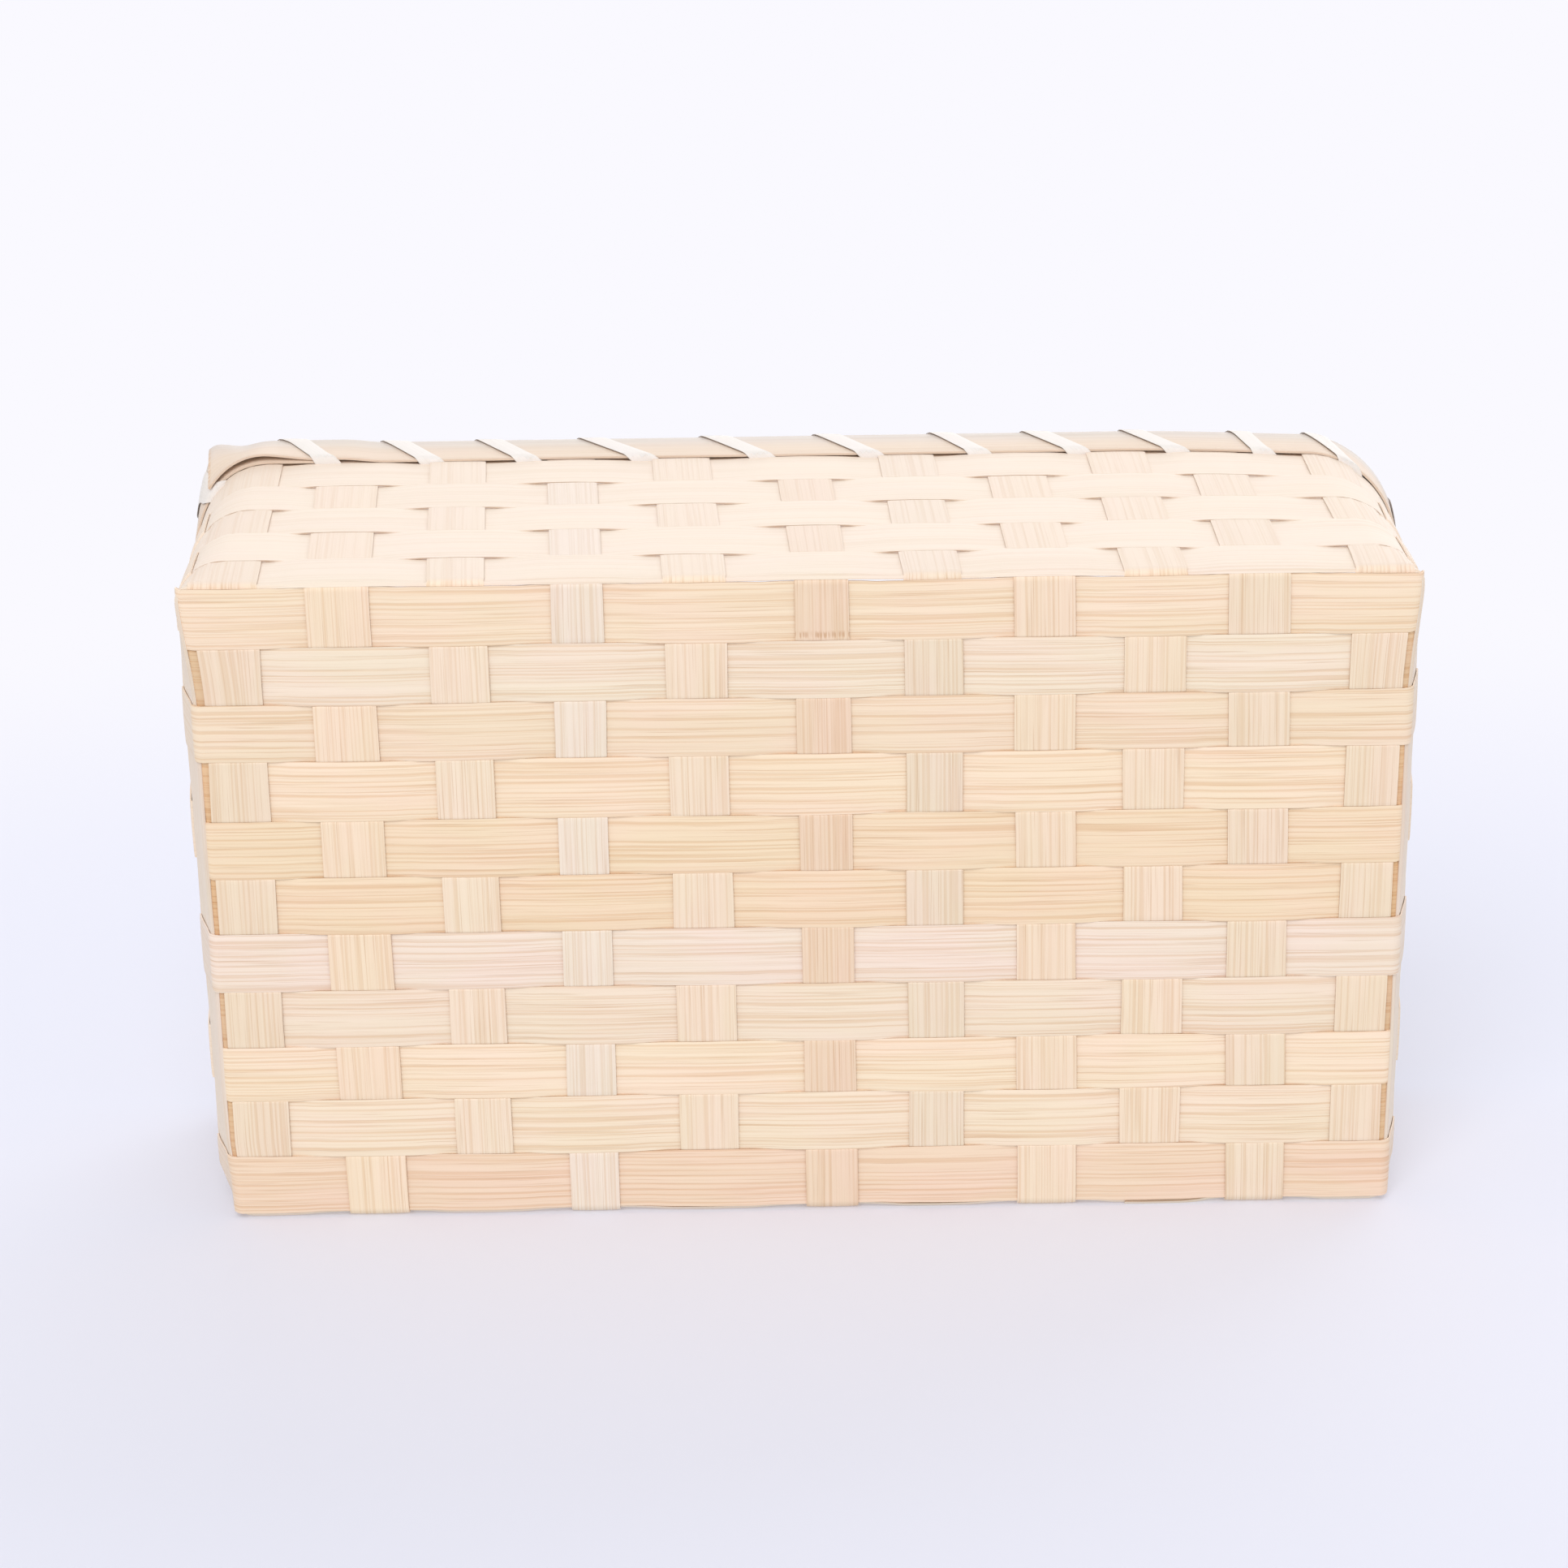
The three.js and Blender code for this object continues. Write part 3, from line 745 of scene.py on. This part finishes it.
def lay_splint(name, end_side, half_run, crossings, edges, lap, rise, cup, number, scars=()):
    """A splint from wall to wall. rise is its crown over a crossing and cup its hollow across."""
    def offset(s):
        return weave(s, crossings, lap) + crown(s, crossings, rise)

    edge_places = [s for crossing in crossings for s in (crossing.start, crossing.end)]
    end = half_run + BEND_LENGTH + STAKE_HEAD
    stations = stations_between(-end, end, 1.6 * MM, edge_places + bend_stations(half_run))
    place = splint_place(end_side, half_run, edges, offset, cup)
    return lay_strip(name, stations, ROWS, SPLINT, place, number, splint_mark(half_run), scars)


# %% Long splints
def narrowed(edges, s, half_run):
    """A lining narrows to a tongue below the rim, so that the lashing can pass beside it."""
    low, high = edges
    climb = abs(s) - half_run - BEND_LENGTH
    share = risen(climb, RIM_FOOT - 10 * MM, RIM_FOOT - 2 * MM)
    spare = ((high - low) - TONGUE) / 2 * share
    return low + spare, high - spare


def lay_long_splint(number):
    half_run = FLOOR_HALF_LENGTH
    centre = (ROW_SEAMS[number - 1] + ROW_SEAMS[number]) / 2
    floor = []
    for column in range(1, SPLINT_COUNT + 1):
        low, high = column_edges(column, centre)
        side = -1 if (number + column) % 2 == 1 else 1
        floor.append(Crossing(low, high, side * LAYER / 2))
    crossings = wall_crossings(3, number, half_run, -1) + floor + wall_crossings(1, number, half_run, 1)

    def edges(s):
        both = row_edges(number, s)
        return narrowed(both, s, half_run) if number % 2 == 0 else both

    return lay_splint(
        f"bamboo_long_splint_{number:02d}", 1, half_run, crossings, edges,
        lap=0.3 * MM, rise=0.13 * MM, cup=0.10 * MM, number=number,
    )


# %% Cross splints
def lay_cross_splint(number, scars):
    half_run = FLOOR_HALF_WIDTH
    floor = []
    for row in range(SPLINT_COUNT, 0, -1):
        low, high = row_edges(row, COLUMNS_AT_BACK[number - 1])
        side = 1 if (number + row) % 2 == 1 else -1
        floor.append(Crossing(-high, -low, side * LAYER / 2))
    crossings = wall_crossings(2, number, half_run, -1) + floor + wall_crossings(0, number, half_run, 1)

    def edges(s):
        return column_edges(number, -s)

    return lay_splint(
        f"bamboo_cross_splint_{number:02d}", 0, half_run, crossings, edges,
        lap=0.5 * MM, rise=0.16 * MM, cup=0.12 * MM, number=20 + number, scars=scars,
    )


# %% [markdown]
# ## Colours of single splints
#
# The floor's rows run from cream at the back to a yellower pair in the middle and a pinker row at
# the front, and one cross splint is browner than the rest. A tint is what the shared colour is
# multiplied by to reach such a colour, and the other splints and the weavers get small seeded ones.

# %% Tints and floor
PLAIN = colour(252, 231, 205)


def tint_to(red, green, blue):
    return [wanted / shared for wanted, shared in zip(colour(red, green, blue)[:3], PLAIN[:3])]


def small_tint(number):
    """A gentle change of lightness and warmth, the same on each run."""
    light = wander(number, 0.31, 1, 0.05)
    warm = wander(number + 50, 0.77, 1, 0.035)
    return [1 + light + warm, 1 + light, 1 + light - warm]


ROW_TINTS = {
    2: tint_to(251, 234, 212),
    5: tint_to(251, 228, 198),
    6: tint_to(251, 227, 197),
    7: tint_to(251, 233, 216),
    8: tint_to(250, 231, 209),
    11: tint_to(249, 222, 197),
}
COLUMN_TINTS = {4: tint_to(250, 234, 215), 6: tint_to(247, 221, 194)}
COLUMN_SCARS = {6: [88.5 * MM]}
# Painted light: the splints turn cooler and paler up the walls, the washed-out look of walls in full light.
WASHED_OUT_WALL_TINT = (0.925, 0.95, 1.01)
# Painted shade: the brown of a lining's outer face in the slit at the floor's end.
RECESS_SHADE = (0.84, 0.70, 0.55)


def paint_recess_shade(piece):
    """Painted shade: where a lining turns up inside the weavers, its outer face in the slit at the floor's
    end is darkened brown.
    """
    for entry, vert in zip(piece.data.color_attributes["tint"].data, piece.data.vertices):
        share = risen(abs(vert.co.x), 177.5 * MM, 179.5 * MM) * risen(vert.co.z, 8 * MM, 4 * MM)
        if vert.normal.z > 0.2:
            share = 0
        shade = [part * (1 + (brown - 1) * share) for part, brown in zip(entry.color, RECESS_SHADE)]
        entry.color = (*shade, entry.color[3])


for number in range(1, SPLINT_COUNT + 1):
    piece = lay_long_splint(number)
    tint = ROW_TINTS.get(number, small_tint(number))
    finish_piece(piece, f"long_splint_{number:02d}", FLOOR_BAMBOO, tint, WASHED_OUT_WALL_TINT)
    if number % 2 == 0:
        paint_recess_shade(piece)
    piece = lay_cross_splint(number, COLUMN_SCARS.get(number, ()))
    tint = COLUMN_TINTS.get(number, small_tint(20 + number))
    finish_piece(piece, f"cross_splint_{number:02d}", CROSS_BAMBOO, tint, WASHED_OUT_WALL_TINT)
print("splints:", len(pieces), "with", sum(len(p.data.polygons) for p in pieces.values()), "faces")

# %% [markdown]
# ## Round the walls
#
# A weaver or a hoop is measured by how far it has gone round. The girth grows with height, so a
# place is kept as a share of its wall, and the band's two edges stay above each other.

# %% Girth
Girth = namedtuple("Girth", "halves middles total")


def half_girth(wall, climb):
    return straight_half(wall, climb) + corner_radius(climb) * math.pi / 4


def measure_girth(climb):
    halves = [half_girth(wall, climb) for wall in WALLS]
    middles = [2 * sum(halves[:side]) + halves[side] for side in range(4)]
    return Girth(halves, middles, 2 * sum(halves))


def around(girth, way, climb, offset):
    """The point so far round the basket, at this height and so far out."""
    way %= girth.total
    side = next(side for side in range(4) if side == 3 or way < girth.middles[side] + girth.halves[side])
    share = (way - girth.middles[side]) / girth.halves[side]
    return wall_point(WALLS[side], share * half_girth(WALLS[side], climb), climb, offset)


def stake_way(girth, stake, climb):
    """The two edges of a stake at this height, as ways round the basket."""
    wall = WALLS[stake.side]
    middle = girth.middles[stake.side] + stake_along(wall, (stake.low + stake.high) / 2, climb)
    half = (stake.high - stake.low) / 2
    return middle - half, middle + half


# %% [markdown]
# ## Side weavers
#
# Each weaver goes in and out of the stakes once round and laps over its own start, so it needs no
# knot. The next weaver takes the other side of every stake, and starts its lap one stake further on.
# Weavers are beaten down on each other, so two neighbours share one wandering seam. Where a weaver
# passes outside a stake its lower edge stands off a little, and its shadow draws a thin dark line; the
# edge is also painted dark there, as painted shade that strengthens that line.

# %% Side weavers
FIRST_LAP_STAKE = 18
WEAVER_TAIL = 3 * MM
WEAVER_TIP = 0.3 * MM
WEAVER_RISE = 0.10 * MM
WEAVER_CUP = 0.08 * MM
STAND_OFF = 0.14 * MM
WEAVER_OVERLAP = 0.45 * MM
FULLY_OUTSIDE = 0.36 * MM
SEAM_WAVES = 2.9
SEAM_WANDER = 0.8 * MM
FOOT_WANDER = 0.2 * MM
WEAVER_SPREAD = 0.4


def lay_weaver(row):
    middle = sum(weaver_edges(row)) / 2
    girth = measure_girth(middle)
    first = FIRST_LAP_STAKE + row
    last = first + len(STAKES) + 1
    crossings = []
    for number in range(first, last + 1):
        stake = STAKES[number % len(STAKES)]
        low, high = stake_way(girth, stake, middle)
        turns = number // len(STAKES) * girth.total
        side = -1 if outside_weaver(number % len(STAKES), row) else 1
        beyond = {first: -LAYER, last: LAYER}.get(number, 0.0)
        crossings.append(Crossing(low + turns, high + turns, side * WALLS[stake.side].swing + beyond))

    def place(s, share, skin):
        turn = s / girth.total
        low_wander = SEAM_WANDER if row > 0 else FOOT_WANDER
        low = WEAVER_SEAMS[row] + wander_round(row, turn, SEAM_WAVES, low_wander) + WEAVER_SLIT
        high = WEAVER_SEAMS[row + 1] + wander_round(row + 1, turn, SEAM_WAVES, SEAM_WANDER) - WEAVER_SLIT
        woven = weave(s, crossings, 0)
        out = woven + crown(s, crossings, WEAVER_RISE) + WEAVER_CUP * (1 - share * share)
        out += STAND_OFF * risen(woven, 0, FULLY_OUTSIDE) * smooth(-share)
        climb = low + (high - low) * (share + 1) / 2
        has_neighbour = row > 0 if share < 0 else row < WEAVER_COUNT - 1
        if has_neighbour:
            climb += share * WEAVER_OVERLAP * risen(abs(woven), 0, FULLY_OUTSIDE)
        return around(girth, s, climb, out + skin)

    # Painted shade: the lower edge is darkened where the weaver lies outside a stake, along the shadow
    # line.
    def mark(s, share):
        outside = risen(weave(s, crossings, 0), 0, 0.5 * MM)
        return -0.5 + 1.1 * outside if share < 0 else -0.6

    low, high = crossings[0].start - WEAVER_TAIL, crossings[-1].end + WEAVER_TIP
    stations = stations_between(low, high, 1.8 * MM)
    return lay_strip(f"bamboo_side_weaver_{row + 1}", stations, ROWS, SPLINT, place, 40 + row, mark)


for row in range(WEAVER_COUNT):
    tint = [1 + (part - 1) * WEAVER_SPREAD for part in small_tint(40 + row)]
    finish_piece(lay_weaver(row), f"side_weaver_{row + 1}", WEAVER_BAMBOO, tint)
print("pieces so far:", len(pieces))

# %% [markdown]
# ## Rim hoops
#
# Two thicker strips clamp the stakes' heads between them. Each goes once round, and its end tucks
# under its own start, where the lashing holds both. The outer hoop's start is the free square end
# that shows at a corner of the rim, and its lower edge gapes off the turn under it.

# %% Rim hoops
HOOP = 1.0 * MM
HOOP_OFFSET = SPLINT / 2 + HOOP / 2 + 0.20 * MM
HOOP_STEP = HOOP + 0.12 * MM
HOOP_CUP = 0.05 * MM
HOOP_WAVES = 2.4
LAP_RAMP = 14 * MM
FREE_END = 18 * MM
GAPE_AT = 19 * MM
GAPE_REACH = 20 * MM
RIM_MIDDLE = (RIM_FOOT + RIM_HEAD) / 2
RIM_GIRTH = measure_girth(RIM_MIDDLE)

HOOP_FOOT_TINT = (1.04, 1.0, 0.96)
HOOP_HEAD_TINT = (0.90, 0.97, 1.07)
HOOP_LOOK = (96 * MM, 107 * MM)

Lap = namedtuple("Lap", "start length")
OUTER_LAP = Lap(RIM_GIRTH.middles[0] - 192.5 * MM, 47 * MM)
INNER_LAP = Lap(RIM_GIRTH.middles[1] + 66 * MM, 80 * MM)


def lap_rise(way, lap):
    """1 where the hoop's start lies on its end, and 0 once the end is past."""
    end = lap.start + lap.length
    return risen(way, end + LAP_RAMP, end)


def hoop_mark(s, share):
    """The hoops' edges stay clean."""
    return -0.3


def lay_hoop(name, direction, lap, number, gape, stand_off):
    """A hoop. Its free end stands off, the outer one's far enough for a turn of the lashing under it."""
    end = lap.start + RIM_GIRTH.total + lap.length

    def place(s, share, skin):
        turn = s / RIM_GIRTH.total
        past = s - lap.start
        foot = RIM_FOOT + wander_round(number, turn, HOOP_WAVES, 0.5 * MM)
        head = RIM_HEAD + wander_round(number + 1, turn, HOOP_WAVES, 0.4 * MM)
        rise = lap_rise(s, lap) * HOOP_STEP + stand_off * risen(past, FREE_END, 0)
        open_foot = gape * smooth(1 - abs(past - GAPE_AT) / GAPE_REACH) * ((1 - share) / 2) ** 1.5
        out = direction * (HOOP_OFFSET + rise + open_foot + HOOP_CUP * (1 - share * share))
        return around(RIM_GIRTH, s, (foot + head) / 2 + share * (head - foot) / 2, out + skin)

    stations = stations_between(lap.start, end, 2 * MM)
    # The band just inside the hoop's start is painted shade at its free end, not a culm node's scar.
    return lay_strip(name, stations, ROWS + 2, HOOP, place, number, hoop_mark, [lap.start + 0.6 * MM])


outer_hoop = lay_hoop("bamboo_outer_hoop", 1, OUTER_LAP, 80, 1.7 * MM, 0.75 * MM)
inner_hoop = lay_hoop("bamboo_inner_hoop", -1, INNER_LAP, 84, 0.4 * MM, 0.1 * MM)
for piece, node in ((outer_hoop, "outer_rim_hoop"), (inner_hoop, "inner_rim_hoop")):
    finish_piece(piece, node, HOOP_BAMBOO, HOOP_FOOT_TINT, HOOP_HEAD_TINT, HOOP_LOOK)
print("outer hoop's length:", round((RIM_GIRTH.total + OUTER_LAP.length) / MM), "mm")

# %% [markdown]
# ## Rim lashing
#
# One narrow strip of the culm's glossy skin is wound round both hoops, a turn for each stake. Seen
# as a flat sheet, the surface of the two hoops is a band with four folds, and the lashing is a
# straight line across it. So it is laid on that sheet, and the sheet is folded round the hoops.

# %% Rim lashing
LASHING = 0.4 * MM
LASHING_WIDTH = 6.2 * MM
LASHING_SHIFT = 7 * MM
LASHING_SLANT = 12 * MM
LASHING_CUP = 0.10 * MM
LASHING_TILT = 0.20 * MM
FOLD = 0.9 * MM
HALF_RIM = (RIM_HEAD - RIM_FOOT) / 2 + LASHING / 2 + 0.03 * MM
HALF_CLAMP = HOOP_OFFSET + HOOP / 2 + LASHING / 2 + 0.05 * MM
SHEET = 4 * (HALF_RIM + HALF_CLAMP)
FOLDS = (2 * HALF_RIM, 2 * HALF_RIM + 2 * HALF_CLAMP, 4 * HALF_RIM + 2 * HALF_CLAMP, SHEET)
FACES = (((-1, 0), (0, 1)), ((0, -1), (-1, 0)), ((1, 0), (0, -1)), ((0, 1), (1, 0)))


def fold_round(sheet, out_lift, in_lift):
    """A place across the flat sheet, from the outer top edge, as climb, offset and outward way."""
    sheet %= SHEET
    side = next(side for side in range(4) if side == 3 or sheet < FOLDS[side])
    length = (2 * HALF_RIM, 2 * HALF_CLAMP)[side % 2]
    into = sheet - (FOLDS[side] - length)
    middle_offset = (out_lift - in_lift) / 2
    half_clamp = HALF_CLAMP + (out_lift + in_lift) / 2
    halves = (HALF_RIM, half_clamp) if side % 2 == 0 else (half_clamp, HALF_RIM)
    along = (into / length * 2 - 1) * halves[0]
    inner = halves[0] - FOLD
    bend = max(0.0, abs(along) - inner) / FOLD * math.pi / 4
    run = math.copysign(min(abs(along), inner) + FOLD * math.sin(bend), along)
    rise = halves[1] - FOLD * (1 - math.cos(bend))
    lean = math.copysign(math.sin(bend), along)
    forward, outward = FACES[side]
    climb = RIM_MIDDLE + forward[0] * run + outward[0] * rise
    offset = middle_offset + forward[1] * run + outward[1] * rise
    normal = [lean * f + math.cos(bend) * o for f, o in zip(forward, outward)]
    return climb, offset, normal


OUTER_SHARE = 2 * HALF_RIM / SHEET
FRONT_TURNS = [
    (-161, -152), (-129, -118), (-99, -87), (-66, -50), (-26, -12), (10, 23),
    (47, 58), (77, 90), (108, 122), (146, 152), (172, 182),
]
CORNER_TURN = (-205, -193)
ROUNDING = 0.03
SLOPE_REACH = 0.04


def turn_ends(number):
    """Where a turn passes the rim's head and its foot, as ways round. The front wall's are measured."""
    laps, stake = divmod(number, len(STAKES))
    if stake == len(STAKES) - 1:
        laps, stake, ends = laps + 1, 0, CORNER_TURN
    elif stake < len(FRONT_TURNS):
        ends = FRONT_TURNS[stake]
    else:
        low, high = stake_way(RIM_GIRTH, STAKES[stake], RIM_MIDDLE)
        head = (low + high) / 2 + LASHING_SHIFT + laps * RIM_GIRTH.total
        return head, head + LASHING_SLANT
    start = RIM_GIRTH.middles[0] + laps * RIM_GIRTH.total
    return start + ends[0] * MM, start + ends[1] * MM


def angled_way(turn):
    whole = math.floor(turn)
    head, foot = turn_ends(whole)
    if turn - whole < OUTER_SHARE:
        return head + (foot - head) * (turn - whole) / OUTER_SHARE
    return foot + (turn_ends(whole + 1)[0] - foot) * (turn - whole - OUTER_SHARE) / (1 - OUTER_SHARE)


def lashing_way(turn):
    """How far round the basket the lashing is after so many turns, with its angles rounded off."""
    return sum(angled_way(turn + step * ROUNDING) for step in range(-2, 3)) / 5


def lift_at(way, lap):
    """How much further out the lashing lies where a hoop is doubled. It passes under the free end."""
    past = (way - lap.start) % RIM_GIRTH.total
    return HOOP_STEP * risen(past, FREE_END / 2, FREE_END / 2 + 8 * MM) * lap_rise(lap.start + past, lap)


def lashing_place(s, share, skin):
    turn = s / SHEET
    ahead, behind = lashing_way(turn + SLOPE_REACH), lashing_way(turn - SLOPE_REACH)
    slope = (ahead - behind) / (2 * SLOPE_REACH * SHEET)
    stretch = math.hypot(1, slope)
    half = LASHING_WIDTH / 2 + wander(90, s, 40 * MM, 0.5 * MM)
    sheet = s - share * half * slope / stretch
    way = lashing_way(turn) + share * half / stretch
    climb, offset, normal = fold_round(sheet, lift_at(way, OUTER_LAP), lift_at(way, INNER_LAP))
    out = skin + LASHING_CUP * (1 - share * share) + LASHING_TILT * (1 - share) / 2
    return around(RIM_GIRTH, way, climb + normal[0] * out, offset + normal[1] * out)


def lashing_mark(s, share):
    """The edge that tilts off the rim is dark."""
    return 1.0 if share < 0 else -0.3


# The two ends meet on the rim's inner face, just below its head.
lashing_start = -0.11 * SHEET
lashing_end = (len(STAKES) - 0.12) * SHEET
stations = stations_between(lashing_start, lashing_end, 0.9 * MM)
lashing = lay_strip("bamboo_lashing", stations, ROWS, LASHING, lashing_place, 90, lashing_mark)
finish_piece(lashing, "rim_lashing", LASHING_SKIN, (1, 1, 1))
print("lashing:", round((lashing_end - lashing_start) / MM), "mm across the hoops")

# %% [markdown]
# ## The tables
#
# In the photograph the basket lies on its side, on the wall away from the light, with its floor to
# the camera. So one plane runs under that wall. For views of the basket standing upright a second
# plane lies under its floor. Each is seen only from its front, catches the basket's shadow and fades
# into the plain pale background, and neither throws light or shade on the basket.

# %% Tables
BACKGROUND = colour(250, 249, 255)
NEAR_BACKGROUND = colour(237, 235, 252)
TABLE = colour(231, 233, 247)
BACKGROUND_RISE = (-0.35, 0.80)
TABLE_FADE = (0.30, 0.95)


def table_material(name):
    material = bpy.data.materials.new(name)
    material.use_nodes = True
    tree = material.node_tree
    tree.nodes.clear()
    cloth = add_node(tree, "BsdfDiffuse")
    cloth.inputs["Color"].default_value = TABLE
    glow = add_node(tree, "Emission")
    place = add_node(tree, "TexCoord")
    apart = add_node(tree, "SeparateXYZ")
    tree.links.new(place.outputs["Object"], apart.inputs["Vector"])
    height = ranged(tree, apart.outputs["Z"], *BACKGROUND_RISE)
    tree.links.new(mixed(tree, height, NEAR_BACKGROUND, BACKGROUND), glow.inputs["Color"])
    length = add_node(tree, "VectorMath")
    length.operation = "LENGTH"
    tree.links.new(place.outputs["Object"], length.inputs[0])
    far = ranged(tree, length.outputs["Value"], *TABLE_FADE)
    fade = mixed_shader(tree, far, cloth, glow)
    clear = add_node(tree, "BsdfTransparent")
    geometry = add_node(tree, "NewGeometry")
    front = mixed_shader(tree, geometry.outputs["Backfacing"], fade, clear)
    tree.links.new(front.outputs[0], add_node(tree, "OutputMaterial").inputs["Surface"])
    return material


def lay_table(name, corners):
    bm = bmesh.new()
    bm.faces.new([bm.verts.new(corner) for corner in corners])
    table = add_mesh(name, bm)
    table.data.materials.append(table_material(name))
    table.visible_shadow = False
    table.visible_diffuse = False
    return table


REACH = 6.0
CORNERS = ((-REACH, -REACH), (REACH, -REACH), (REACH, REACH), (-REACH, REACH))
SIDE_SLOPE = 0.119
SIDE_TOUCHES = (107.1 * MM, 2 * MM)
FLOOR_TABLE_HEIGHT = -0.4 * MM

side_corners = [(x, SIDE_TOUCHES[0] + SIDE_SLOPE * (z - SIDE_TOUCHES[1]), z) for x, z in CORNERS]
side_table = lay_table("side_table", side_corners)
floor_table = lay_table("floor_table", [(x, y, FLOOR_TABLE_HEIGHT) for x, y in CORNERS])
print("fronts:", side_table.data.polygons[0].normal, floor_table.data.polygons[0].normal)

# %% [markdown]
# ## Light
#
# A large soft light stands over the photographer's shoulder, so the wall that faces up in the picture
# is the brightest and the floor is evenly lit. The world fills the shadows. A weaker soft light from
# over the mouth shows the inside when the basket stands upright.

# %% Light
FILL_COLOUR = (1.0, 0.995, 0.985, 1)
FILL_STRENGTH = 0.73


def add_sun(name, towards, strength, softness):
    lamp = bpy.data.lights.new(name, "SUN")
    lamp.energy = strength
    lamp.angle = math.radians(softness)
    sun = add_object(name, lamp)
    sun.rotation_euler = Vector(towards).to_track_quat("-Z", "Y").to_euler()


add_sun("soft_key", (0.12, 0.72, 0.69), 1.24, 40)
add_sun("soft_inside", (-0.30, 0.25, -0.90), 0.9, 60)

world = bpy.data.worlds.new("studio")
bpy.context.scene.world = world
world.use_nodes = True
tree = world.node_tree
shown = tree.nodes["Background"]
shown.inputs["Color"].default_value = BACKGROUND
filled = add_node(tree, "Background")
filled.inputs["Color"].default_value = FILL_COLOUR
filled.inputs["Strength"].default_value = FILL_STRENGTH
path = add_node(tree, "LightPath")
seen = maths(tree, "MAXIMUM", path.outputs["Is Camera Ray"], path.outputs["Is Transmission Ray"])
seen = maths(tree, "MAXIMUM", seen, path.outputs["Is Glossy Ray"])
choice = mixed_shader(tree, seen, filled, shown)
tree.links.new(choice.outputs[0], tree.nodes["World Output"].inputs["Surface"])
bpy.context.scene.view_settings.view_transform = "Standard"
print("lights:", [o.name for o in bpy.data.objects if o.type == "LIGHT"])

# %% [markdown]
# ## Camera
#
# The camera looks up at the floor's outer side from a little over the back wall. Its place, turn and
# lens were fitted to the corners of the floor and the rim in the photograph.

# %% Camera
lens = bpy.data.cameras.new("camera")
lens.lens = 85.71
lens.sensor_width = 36
lens.clip_start = 0.01
camera = add_object("camera", lens)
camera.location = (-8.79 * MM, -468.62 * MM, -1055.03 * MM)
camera.rotation_euler = [math.radians(turn) for turn in (157.8981, 0.4824, 0.7583)]
bpy.context.scene.camera = camera
print("camera at", tuple(camera.location))
